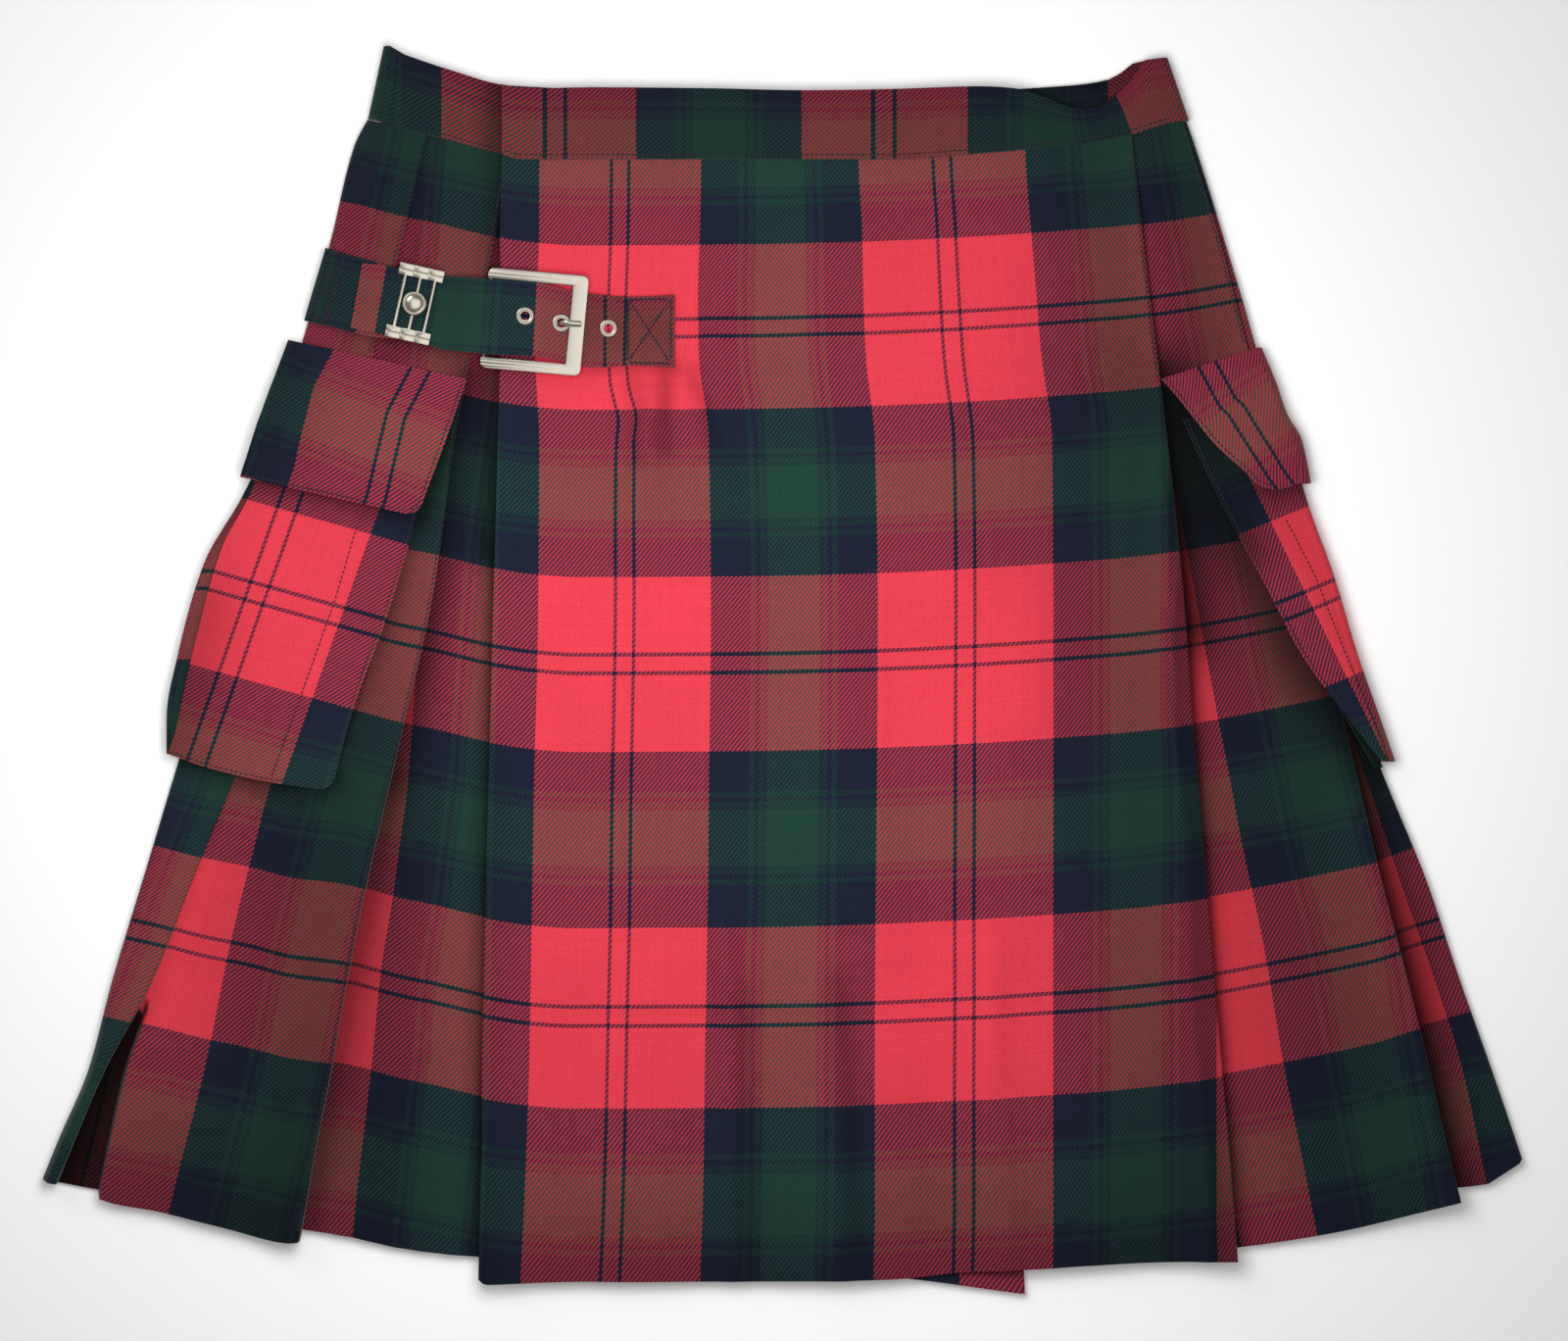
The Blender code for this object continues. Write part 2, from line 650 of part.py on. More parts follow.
def laid_sheet(name, table, first, second, rows, columns, wall, missing, crown=0.0, finish="tartan_wool"):
    """A sheet inside an outline, laid on what is below it, with a low crown."""
    grid_x, grid_y = patch(table, first, second, rows, columns)
    level = rest(grid_x, grid_y, wall, missing)
    u = np.linspace(0, pi, columns)[None, :]
    v = np.linspace(0, pi, rows)[:, None]
    level = level + crown * np.sin(u) * np.sin(v)
    upper, lower = flat_walls(grid_x, grid_y, level, wall)
    return sheet_between(name, upper, lower, finish)


laid_sheet("left_pocket_front", POCKET_LEFT, "far", "near", 11, 9, CLOTH, 8.0, 1.2)
laid_sheet("left_pocket_flap", FLAP_LEFT, "far", "near", 6, 8, FLAP, 8.0, .8)


# Right pocket and flap, which wrap round the right side on to the back

def wrapped_sheet(name, table, width, rows, columns, wall, under, missing, crown):
    """A sheet laid on the front, folded round the right side and laid flat under the back."""
    grid_x, grid_y = patch(table, "near", "side", rows, columns)
    side = grid_x[:, -1]
    front_x = grid_x[:, :-1]
    front_y = grid_y[:, :-1]
    level = rest(front_x, front_y, wall, missing)
    edge_level = level[:, -1]
    radius = (edge_level - under) / 2
    centre = side - radius - wall / 2
    share = np.linspace(0, 1, columns - 1)[None, :]
    front_x = front_x[:, :1] * (1 - share) + (centre - .5)[:, None] * share
    level = rest(front_x, front_y, wall, missing)
    level[:, -1] = edge_level
    v = np.linspace(0, pi, rows)
    path = []
    for j in range(columns - 1):
        lift = crown * sin(pi * j / (columns - 2)) * np.sin(v)
        path.append(np.column_stack([front_x[:, j], front_y[:, j], level[:, j] + lift]))
    y = grid_y[:, -1]
    for step in range(TURN_STEPS + 1):
        angle = pi / 2 - pi * step / TURN_STEPS
        path.append(np.column_stack([centre + radius * cos(angle), y, under + radius + radius * sin(angle)]))
    hidden = np.maximum(width - (side - grid_x[:, 0]), 24)
    for share in (.5, 1):
        path.append(np.column_stack([side - hidden * share, y, np.full(rows, float(under))]))
    cloth_piece(name, np.stack(path, axis=1), wall, "tartan_wool")


gusset("right_pocket_gusset", GUSSET_RIGHT, -1, 6.5)
wrapped_sheet("right_pocket_front", POCKET_RIGHT, POCKET_RIGHT_WIDTH, 11, 7, CLOTH,
              FLAP + GAP + CLOTH / 2, 7.8, .5)
wrapped_sheet("right_pocket_flap", FLAP_RIGHT, FLAP_RIGHT_WIDTH, 8, 7, FLAP, FLAP / 2, 8.0, .3)


# Hip strap: the base carries the buckle, the tail comes back from the apron

def strap_rows(table, rows=3):
    """Sections of a strap, one for each line along it from its upper to its lower edge."""
    share = np.linspace(0, 1, rows)[:, None]
    x = np.array(table["top_x"], float) * (1 - share) + np.array(table["bottom_x"], float) * share
    y = np.array(table["top_y"], float) * (1 - share) + np.array(table["bottom_y"], float) * share
    z = np.repeat(np.array(table["level"], float)[None, :], rows, axis=0)
    return np.stack([x, y, z], axis=2)


def base_sections():
    """The base strap, taken round the buckle's bar and back over itself."""
    rows = strap_rows(BASE)
    radius = BAR_LEVEL - BASE["level"][-1]
    low = BASE["level"][-1]
    made = []
    for row, lean in zip(rows, (1.75, 0, -1.75)):
        centre = BAR_X + lean
        loop = []
        for step in range(5):
            angle = -pi / 2 + pi * step / 4
            loop.append((centre + radius * cos(angle), row[-1][1], low + radius + radius * sin(angle)))
        loop.append((centre - 5.5, row[-1][1], low + 2 * radius - .6))
        loop.append((centre - 13, row[-1][1] + .6, low + BASE_STRAP + GAP + .1))
        made.append(np.concatenate([row, loop]))
    return np.stack(made)


base_strap = cloth_piece("hip_strap_base", base_sections(), BASE_STRAP, "strap_wool")
tail_strap = cloth_piece("hip_strap_tail", strap_rows(TAIL), STRAP, "strap_wool")


# Metal parts, built from cells, rods and rings

def cells(name, xs, ys, filled, low, high, place, finish, collection=None):
    """A plate of filled grid cells; place takes each point to where it lies."""
    columns, rows = len(xs), len(ys)
    points = [place(Vector((x, y, z))) for z in (low, high) for y in ys for x in xs]
    index = lambda i, j, k: (k * rows + j) * columns + i
    faces = []
    for i in range(columns - 1):
        for j in range(rows - 1):
            if not filled(i, j):
                continue
            a, b, c, d = (i, j), (i + 1, j), (i + 1, j + 1), (i, j + 1)
            faces.append([index(*p, 1) for p in (a, b, c, d)])
            faces.append([index(*p, 0) for p in (d, c, b, a)])
            for (p, q), (ni, nj) in (((a, b), (i, j - 1)), ((b, c), (i + 1, j)),
                                     ((c, d), (i, j + 1)), ((d, a), (i - 1, j))):
                inside = 0 <= ni < columns - 1 and 0 <= nj < rows - 1
                if not (inside and filled(ni, nj)):
                    faces.append([index(*p, 0), index(*q, 0), index(*q, 1), index(*p, 1)])
    used = sorted({i for face in faces for i in face})
    renumber = {old: new for new, old in enumerate(used)}
    return add_solid(name, [points[i] for i in used], [[renumber[i] for i in f] for f in faces], finish, collection)


def soften(solid, width):
    """Break the sharp edges of a metal part."""
    bevel = solid.modifiers.new("soften", "BEVEL")
    bevel.width = width * MM
    bevel.segments = 1
    bevel.limit_method = "ANGLE"


def turned(name, profile, place, finish, steps=12, collection=None):
    """A ring or stud: a closed outline of radius and height, turned about its axis."""
    points = []
    faces = []
    on_axis = [r == 0 for r, _ in profile]
    ids = []
    for (r, h), axis in zip(profile, on_axis):
        if axis:
            ids.append([len(points)] * steps)
            points.append(place(Vector((0, 0, h))))
        else:
            ids.append(list(range(len(points), len(points) + steps)))
            points += [place(Vector((r * cos(2 * pi * k / steps), r * sin(2 * pi * k / steps), h)))
                       for k in range(steps)]
    count = len(profile)
    for i in range(count):
        n = (i + 1) % count
        if on_axis[i] and on_axis[n]:
            continue
        for k in range(steps):
            m = (k + 1) % steps
            face = [ids[i][k], ids[i][m], ids[n][m], ids[n][k]]
            faces.append(list(dict.fromkeys(face)))
    return add_solid(name, points, faces, finish, collection)


def local_frame(centre, turn, lean=0.0, level=0.0):
    """Take a point from a metal part's own axes to the kilt's."""
    matrix = Matrix.Translation(Vector((centre[0], centre[1], level)))
    matrix = matrix @ Matrix.Rotation(turn, 4, "Z") @ Matrix.Rotation(lean, 4, "Y")
    return lambda point: matrix @ point


half_wide = BUCKLE_WIDE / 2
half_high = BUCKLE_HIGH / 2
bar_place = BAR_X - BUCKLE_CENTRE[0]
end_place = half_wide - BUCKLE_BAR_END / 2
buckle_lean = -atan2(BUCKLE_RIGHT_LEVEL - BAR_LEVEL, end_place - bar_place)
buckle_level = BAR_LEVEL + (BUCKLE_RIGHT_LEVEL - BAR_LEVEL) * (0 - bar_place) / (end_place - bar_place)
buckle_frame = local_frame(BUCKLE_CENTRE, BUCKLE_TURN, buckle_lean, buckle_level)
frame_x = (-half_wide, bar_place - BAR_RADIUS, bar_place + BAR_RADIUS, half_wide - BUCKLE_BAR_END, half_wide)
frame_y = (-half_high, -half_high + BUCKLE_BAR_LONG, half_high - BUCKLE_BAR_LONG, half_high)
buckle = cells("buckle_frame", frame_x, frame_y, lambda i, j: j != 1 or i in (1, 3),
               -BUCKLE_THICK / 2, BUCKLE_THICK / 2, buckle_frame, "pale_metal")
soften(buckle, .35)

slot_frame = local_frame((BAR_X, BUCKLE_CENTRE[1] + 2.4), BUCKLE_TURN)
slot = cells("prong_slot", (-4.5, 4.5), (-PRONG_WIDE / 2 - .8, PRONG_WIDE / 2 + .8), lambda i, j: True,
             6.5, 15.5, slot_frame, "strap_wool", cutters)
cut(base_strap, slot)


def prong_sections():
    """The prong's bent bar, from its hub up through the eyelet and over the frame."""
    rows = []
    for side in (1, -1):
        rows.append([(x, 176.3 - (x + 113) * .06 + side * PRONG_WIDE / 2, z) for x, z in PRONG_PATH])
    return np.array(rows, float)


prong = cloth_piece("buckle_prong", prong_sections(), PRONG_THICK, "pale_metal")


def tail_level(x):
    """Height of the tail strap's middle at a place along it."""
    middle = (np.array(TAIL["top_x"], float) + np.array(TAIL["bottom_x"], float)) / 2
    return float(np.interp(x, middle, TAIL["level"]))


for number, (x, y) in enumerate(EYELETS, start=1):
    slope = (tail_level(x + 4) - tail_level(x - 4)) / 8
    frame = local_frame((x, y), BUCKLE_TURN, -atan2(slope, 1), (tail_level(x + 4) + tail_level(x - 4)) / 2)
    hole = turned("eyelet_hole_%d" % number, ((0, -4), (EYELET_BARREL + GAP, -4), (EYELET_BARREL + GAP, 4), (0, 4)),
                  frame, "strap_wool", 12, cutters)
    cut(tail_strap, hole)
    face = STRAP / 2 + GAP + .25
    ring = ((EYELET_INNER, -STRAP / 2), (EYELET_BARREL, -STRAP / 2), (EYELET_BARREL, face),
            (EYELET_OUTER, face), (EYELET_OUTER - .5, face + .6), (EYELET_INNER + .6, face + .8), (EYELET_INNER, face + .4))
    turned("eyelet_%d" % number, ring, frame, "pale_metal")

keeper_frame = local_frame(KEEPER_CENTRE, KEEPER_TURN)
rod = KEEPER_ROD / 2
keeper_x = [-KEEPER_WIDE / 2]
for at in KEEPER_RODS:
    keeper_x += [at - rod, at + rod]
keeper_x.append(KEEPER_WIDE / 2)
keeper_y = (-KEEPER_HIGH / 2, -KEEPER_HIGH / 2 + KEEPER_BAR, KEEPER_HIGH / 2 - KEEPER_BAR, KEEPER_HIGH / 2)
keeper = cells("keeper_frame", keeper_x, keeper_y, lambda i, j: j != 1 or i in (1, 3, 5),
               KEEPER_LOW, KEEPER_LOW + KEEPER_THICK, keeper_frame, "pale_metal")
soften(keeper, .3)

stud_low = KEEPER_LOW + KEEPER_THICK + GAP
stud_frame = local_frame(KEEPER_CENTRE, KEEPER_TURN, 0, stud_low)
stud_profile = [(0, 0), (STUD_RADIUS, 0), (STUD_RADIUS, .8)]
for angle in (20, 42, 66):
    stud_profile.append((STUD_RADIUS * .9 * cos(radians(angle)), .8 + (STUD_HIGH - .8) * sin(radians(angle))))
stud_profile.append((0, STUD_HIGH))
turned("keeper_stud", stud_profile, stud_frame, "pale_metal")


# Centre the laid kilt on its origin

corners = [v.co for solid in kilt.objects for v in solid.data.vertices]
middle = Vector([(min(c[i] for c in corners) + max(c[i] for c in corners)) / 2 for i in (0, 1)] + [0])
for solid in list(kilt.objects) + list(cutters.objects):
    solid.data.transform(Matrix.Translation(-middle))
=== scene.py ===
# %% [markdown]
# # A tartan utility kilt, laid flat
#
# The kilt lies on a pale table and is seen from straight above. It is one long strip of wool, folded into
# knife pleats and sewn into a waistband, with a pocket at each side and a buckled strap at the hip.
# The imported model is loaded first. It says where every piece lies, and each piece below is cloth or metal
# made finer on the same place.

from math import cos, pi, radians, sin

import bpy
import numpy as np
from mathutils import Matrix, Vector
from mathutils.bvhtree import BVHTree


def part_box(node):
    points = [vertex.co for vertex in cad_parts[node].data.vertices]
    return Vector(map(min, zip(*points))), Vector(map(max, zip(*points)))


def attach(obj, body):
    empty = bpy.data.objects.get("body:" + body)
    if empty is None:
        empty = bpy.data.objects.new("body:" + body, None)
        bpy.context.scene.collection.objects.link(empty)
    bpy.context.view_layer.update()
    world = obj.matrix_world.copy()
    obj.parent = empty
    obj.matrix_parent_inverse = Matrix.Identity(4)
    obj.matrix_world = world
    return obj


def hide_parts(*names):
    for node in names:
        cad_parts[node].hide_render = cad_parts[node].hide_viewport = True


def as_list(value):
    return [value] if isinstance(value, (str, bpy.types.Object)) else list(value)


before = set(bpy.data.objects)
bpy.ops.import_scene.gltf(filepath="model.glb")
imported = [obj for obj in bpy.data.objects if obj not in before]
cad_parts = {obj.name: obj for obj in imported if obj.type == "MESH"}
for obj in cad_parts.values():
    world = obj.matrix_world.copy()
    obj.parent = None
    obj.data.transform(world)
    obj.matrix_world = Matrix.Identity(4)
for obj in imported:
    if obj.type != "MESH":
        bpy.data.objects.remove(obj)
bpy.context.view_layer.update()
bpy.ops.object.select_all(action="DESELECT")

# %% [markdown]
# ## Sizes
#
# Everything is in millimetres, and `MM` brings it to metres when a mesh is made. Wool of this kind is about
# a millimetre thick when it is folded at a seam. The tables below use the kilt's own drawing, whose middle is
# a little beside the frame's, so the centre of the stud on the strap's keeper ties the two together.

# %% Sizes and the drawing's place
MM = 0.001
CLOTH = 1.0
GAP = 0.35
LAYER = CLOTH + GAP
BAND = 3.0
FLAP = 1.5
STRAP = 1.5
BASE_STRAP = 1.2
STUD_DRAWN = (-188.1, 186.0)

stud_low, stud_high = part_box("keeper_stud")
SHIFT = Vector((
    (stud_low.x + stud_high.x) / 2 / MM - STUD_DRAWN[0],
    (stud_low.y + stud_high.y) / 2 / MM - STUD_DRAWN[1],
    0,
))
print("the drawing moves by", [round(c, 2) for c in SHIFT], "mm")

# %% [markdown]
# ## Heights of the layers
#
# A laid kilt is a stack: the back's face is on the table, then the back's tucks, then the front. Each layer's
# middle is named once here, so that no cloth cuts through its neighbour.

# %% Heights of the layers
BACK = CLOTH / 2
BACK_RETURN = BACK + LAYER
BACK_INNER = BACK + 2 * LAYER
FRONT = BACK + 3 * LAYER + .5
FRONT_RETURN = FRONT + LAYER
FRONT_FACE = FRONT + 2 * LAYER
BAND_BACK = BAND / 2
BAND_SIDE = 6.6
BAND_OVER = BAND_SIDE + BAND + GAP
print("the front's face lies", FRONT_FACE, "mm above the table")

# %% [markdown]
# ## Lines down the cloth
#
# Each edge, fold and colour line of the kilt is a soft line from the waist to the hem. A few heights say
# where it runs, and a smooth curve through them gives every place between.

# %% Lines down the cloth
LINES = {
    "height":     (285, 268, 220, 170, 120, 40, -40, -110, -160, -205, -240, -280, -320),
    "left_side":  (-211, -220, -232, -246, -261, -284, -308, -329, -344, -356, -371, -387, -402),
    "wrap_fold":  (-180, -184, -195, -208, -224, -249, -275, -303, -323, -347, -362, -378, -393),
    "wrap_under": (-175, -179, -190, -203, -219, -244, -270, -298, -318, -335, -343, -351, -359),
    "side_fold":  (-135, -139, -148, -158, -168, -179, -197, -213, -223, -231, -238, -245, -253),
    "apron_edge": (-144, -144, -145, -145, -146, -148, -150, -152, -153, -154, -154, -155, -156),
    "under_edge": (98, 99, 101, 103, 105, 108, 111, 114, 116, 118, 119, 121, 123),
    "apron_fold": (176, 178, 183, 189, 195, 203, 209, 215, 219, 223, 226, 229, 232),
    "right_fold": (202, 207, 222, 235, 249, 269, 289, 305, 318, 329, 337, 347, 357),
    "right_side": (204, 210, 225, 239.5, 253, 277, 301, 329, 346, 362, 374, 387, 400),
}
APRON_COLOURS = {
    "height": (285, 250, 226, 190, 160, 116, 31, -59, -119, -199, -269, -320),
    "red_1":  (-124.5, -125, -125, -126.5, -127, -125, -125.5, -127.5, -128.5, -130, -132.5, -135),
    "dark_1": (-43, -43, -43.5, -44.5, -44, -39, -38, -39, -39.5, -41, -42, -44),
    "red_2":  (37, 38, 39.5, 40.2, 41.5, 46, 47.5, 47, 46.5, 46, 46, 45),
    "dark_2": (121, 123, 125, 128, 130.5, 136, 136.5, 136.5, 136.5, 136.5, 136.5, 136),
}
PLEAT_COLOURS = {
    "height":     (285, 150, 56, -19, -59, -89, -119, -149, -199, -249, -320),
    "dark_right": (165, 188, 206, 220, 227.5, 232.5, 238.5, 244, 252, 262, 276),
    "dark_tuck":  (188, 221, 251, 284, 299, 309, 319, 329, 345, 356, 372),
    "dark_left":  (-200, -212, -228, -248, -264, -272, -280, -287, -297, -310, -328),
    "dark_under": (-158, -172, -184, -190, -193, -197, -201, -206, -211, -217, -224),
}


def smooth_curve(keys, values):
    """A curve through the table's rows that doesn't swing past them."""
    order = np.argsort(np.array(keys, float))
    x = np.array(keys, float)[order]
    y = np.array(values, float)[order]
    width = np.diff(x)
    slope = np.diff(y) / width
    lean = np.zeros(len(x))
    same_way = slope[1:] * slope[:-1] > 0
    total = np.where(same_way, slope[1:] + slope[:-1], 1)
    lean[1:-1] = np.where(same_way, 2 * slope[1:] * slope[:-1] / total, 0)
    lean[0] = slope[0]
    lean[-1] = slope[-1]

    def at(place):
        q = np.clip(np.asarray(place, float), x[0], x[-1])
        i = np.clip(np.searchsorted(x, q) - 1, 0, len(x) - 2)
        t = (q - x[i]) / width[i]
        rise = y[i] * (1 + 2 * t) * (1 - t) ** 2 + y[i + 1] * t * t * (3 - 2 * t)
        return rise + width[i] * (lean[i] * t * (1 - t) ** 2 - lean[i + 1] * t * t * (1 - t))

    return at


def line(name):
    """A named line, as a function of height on the kilt."""
    for table in (LINES, APRON_COLOURS, PLEAT_COLOURS):
        if name in table:
            return smooth_curve(table["height"], table[name])
    raise KeyError(name)


def beside(base, step):
    """A line a step to the right of another; the step may change with the height."""
    if callable(step):
        return lambda y: base(y) + step(y)
    return lambda y: base(y) + step


def between(first, second, share):
    """A line that lies a share of the way from one line to another."""
    return lambda y: first(y) * (1 - share) + second(y) * share


def soft_step(value, low, high):
    """Go softly from 0 at low to 1 at high."""
    t = np.clip((np.asarray(value, float) - low) / (high - low), 0, 1)
    return t * t * (3 - 2 * t)


left_side = line("left_side")
wrap_fold = line("wrap_fold")
wrap_under = line("wrap_under")
side_fold = line("side_fold")
apron_edge = line("apron_edge")
under_edge = line("under_edge")
apron_fold = line("apron_fold")
right_fold = line("right_fold")
right_side = line("right_side")
print(len(LINES) + len(APRON_COLOURS) + len(PLEAT_COLOURS) - 3, "lines run down the cloth")

# %% [markdown]
# ## Lines across the cloth
#
# The waist seam, the band's upper edge and the hems cross the kilt. A flared skirt that is laid flat bows:
# its crosswise threads climb towards the sides, and `THREAD_RISE` says by how much.

# %% Lines across the cloth
WAIST_SEAM = {
    "across": (-213, -194, -178, -160, -145, -135, 50, 100, 150, 177, 197, 207),
    "height": (281, 276, 272, 267, 263, 260, 260, 263, 268, 273, 279, 280),
}
BAND_TOP = {
    "across": (-205, -189, -171, -141, -127, -98, -39, 9, 50, 100, 118, 132, 144, 152, 160, 169, 178, 184,
               196),
    "height": (318, 312, 306, 297.5, 296, 296.5, 296, 295, 295.5, 297, 296, 292, 287.5, 286, 287, 293, 302,
               311, 312),
}
BAND_TOP_BACK = {
    "across": (-205, -189, -171, -141, -98, 9, 50, 120, 150, 167, 181, 196),
    "height": (318, 312, 306, 298, 296, 293, 294, 297, 299, 302, 311, 312),
}
HEM_BACK = {
    "across": (-380, -360, -250, -150, 0, 150, 250, 340, 377),
    "height": (-260, -259, -280, -291, -299, -291, -279, -259, -250),
}
HEM_LEFT = {
    "across": (-380, -372, -364, -352, -349, -318, -293, -251, -246),
    "height": (-260, -262, -261, -263, -270, -277, -283, -292, -291),
}
HEM_UNDER = {
    "across": (-280, -246, -221, -199, -178, -156, 50, 122),
    "height": (-281, -286, -290, -295, -298, -300, -310, -319),
}
HEM_OVER = {
    "across": (-156, -152, -100, -41, 50, 97, 137, 150, 194, 232),
    "height": (-310, -313, -312, -312, -311, -307, -305, -304, -302, -301),
}
HEM_RIGHT = {
    "across": (190, 233, 283, 345),
    "height": (-299, -295, -287, -271),
}
HEM_RIGHT_INNER = {
    "across": (300, 340, 359, 363, 374, 377),
    "height": (-270, -265, -263, -260, -254, -250),
}
THREAD_RISE = {
    "across": (-400, -322, -296, -273, -250, -227, -195, -180, -148, -128, -105, -20, 30, 70, 115, 150, 175,
               200, 215, 270, 301, 322, 400),
    "rise":   (56, 42, 35.5, 31, 25.5, 23, 15, 12, 4.5, 1.5, 0, .5, 1.5, 3, 5.5, 8, 10, 13, 15.5, 26.5, 33.5,
               41, 62),
}
thread_rise = smooth_curve(THREAD_RISE["across"], THREAD_RISE["rise"])
seam_height = smooth_curve(WAIST_SEAM["across"], WAIST_SEAM["height"])
print("the crosswise threads climb", float(thread_rise(-400)), "mm at the left side")

# %% [markdown]
# ## The sett
#
# A tartan repeats one list of stripes, the sett, along the cloth and across it. Here red and dark blocks take
# turns. `THREAD_COUNT` lists the stripes in millimetres from the red's edge: two dark lines in the red, and
# green between navy in the dark block. The weft's blocks grow a little towards the hem, as the cloth does.

# %% The sett and the weft's places
THREAD_COUNT = (
    ("red", 38.5), ("navy", 1.75), ("red", 7.5), ("navy", 1.75), ("red", 38.5),
    ("navy", 20.5), ("dusk", 3.0), ("navy", 1.75), ("dusk", 2.5), ("shade", 1.75),
    ("green", 26.0), ("shade", 1.75), ("dusk", 2.5), ("navy", 1.75), ("dusk", 3.0), ("navy", 20.5),
)
SETT = sum(width for _, width in THREAD_COUNT)
RED_BLOCK = sum(width for _, width in THREAD_COUNT[:5])
SECOND_DARK = SETT + RED_BLOCK
WEFT_PLACES = {
    "height": (300, 216.25, 132.75, 46.75, -41.25, -131.75, -223.25, -323),
    "thread": (-84, 0, RED_BLOCK, SETT, SECOND_DARK, 2 * SETT, SETT + SECOND_DARK, 3 * SETT - .5),
}
weft_thread = smooth_curve(WEFT_PLACES["height"], WEFT_PLACES["thread"])


def weft_place(x, y):
    """Which crosswise thread lies at a place of the skirt, in millimetres along the sett."""
    return weft_thread(y - thread_rise(x))


print("one sett is", SETT, "mm")

# %% [markdown]
# ## Cloth as a strip of columns
#
# A pleated panel could be a flat sheet that a simulation folds, but knife pleats are pressed and sewn, so
# their shape is known. `Strip` walks across the panel and notes each line the cloth passes and each fold
# where it turns back. It then fills the way between with fine columns. The length of that walk is also the
# cloth's own measure, which the tartan follows, so the pattern turns with each fold.

# %% A strip of cloth
FOLD_STEPS = 6
FOLD_ANGLES = [-pi / 2 + pi * step / FOLD_STEPS for step in range(FOLD_STEPS + 1)]
ROW_STEP = 4.5
COLUMN_STEP = 4.0
SKIRT_LONG = 580
WAIST_Y, MIDDLE_Y, HEM_Y = 270.0, -50.0, -290.0
SETTLE_STEPS = 6


def as_function(value):
    """A function of the height: the value itself, or one that gives its number everywhere."""
    if callable(value):
        return value
    return lambda y: np.full(np.shape(y), float(value))


def settle(edge, curve, start):
    """The height at which a line down the cloth meets a curve across it."""
    y = start
    for _ in range(SETTLE_STEPS):
        y = float(curve(edge(y)))
    return y


def way_along(path):
    """How far each place of a flat path lies from its start."""
    return np.concatenate([[0], np.cumsum(np.hypot(*np.diff(path, axis=0).T))])


def way_across(points):
    """How far each column of a grid lies from its first, measured along the rows."""
    step = np.linalg.norm(np.diff(points, axis=1), axis=2)
    return np.concatenate([np.zeros((len(points), 1)), np.cumsum(step, axis=1)], axis=1)


class Strip:
    """Pleated cloth between the waist seam and its hem."""

    def __init__(self, hem, drop=.1, row_step=ROW_STEP, column_step=COLUMN_STEP):
        self.hem = smooth_curve(hem["across"], hem["height"])
        self.drop = drop
        self.row_step = row_step
        self.column_step = column_step
        self.columns = []

    def at(self, edge, level, hem=None, thread=None, curved=False):
        """Pass a line at a level; thread names the lengthwise thread that lies there."""
        hem_curve = smooth_curve(hem["across"], hem["height"]) if hem else self.hem
        self.columns.append((edge, as_function(level), hem_curve, thread, curved))

    def turn(self, edge, start, end, facing, hem=None, thread=None):
        """Fold back at a line; facing is 1 where the fold points to the right."""
        first, last = as_function(start), as_function(end)
        for step, angle in enumerate(FOLD_ANGLES):
            def fold_x(y, angle=angle):
                radius = np.abs(last(y) - first(y)) / 2
                return edge(y) - facing * (radius + CLOTH / 2) + facing * radius * cos(angle)

            def fold_z(y, angle=angle):
                return (first(y) + last(y)) / 2 + (last(y) - first(y)) / 2 * sin(angle)

            here = thread if step == FOLD_STEPS // 2 else None
            self.at(fold_x, fold_z, hem, here, curved=step > 0)

    def heights(self, edge, hem, rows):
        """Where the rows cross a line, from the waist seam down to the hem."""
        top = settle(edge, seam_height, WAIST_Y) - self.drop
        bottom = settle(edge, hem, HEM_Y)
        return top + (bottom - top) * rows

    def grid(self, lift=None):
        """Points row by row, and the cloth's measure along each row."""
        rows = np.linspace(0, 1, int(SKIRT_LONG / self.row_step))
        made = []
        threads = []
        for number, (edge, level, hem, thread, curved) in enumerate(self.columns):
            if number and not curved:
                self.fill(made, threads, self.columns[number - 1], self.columns[number], rows)
            y = self.heights(edge, hem, rows)
            made.append(np.column_stack([edge(y), y, level(y)]))
            threads.append(thread)
        points = np.stack(made, axis=1)
        if lift is not None:
            points[:, :, 2] += lift(points[:, :, 0], points[:, :, 1], points[:, :, 2])
        return points, count_threads(way_across(points[:, :, [0, 2]]), threads, points[:, :, 1])

    def fill(self, made, threads, before, after, rows):
        """Add the columns between two named ones."""
        apart = abs(float(after[0](MIDDLE_Y)) - float(before[0](MIDDLE_Y)))
        count = int(max(1, round(apart / self.column_step)))
        first_y = self.heights(before[0], before[2], rows)
        last_y = self.heights(after[0], after[2], rows)
        for k in range(1, count):
            t = k / count
            edge = between(before[0], after[0], t)
            same_hem = before[2] is after[2] or np.allclose(before[2](last_y), after[2](last_y))
            y = self.heights(edge, after[2], rows) if same_hem else first_y * (1 - t) + last_y * t
            share = t * t * (3 - 2 * t)
            z = before[1](y) * (1 - share) + after[1](y) * share
            made.append(np.column_stack([edge(y), y, z]))
            threads.append(None)


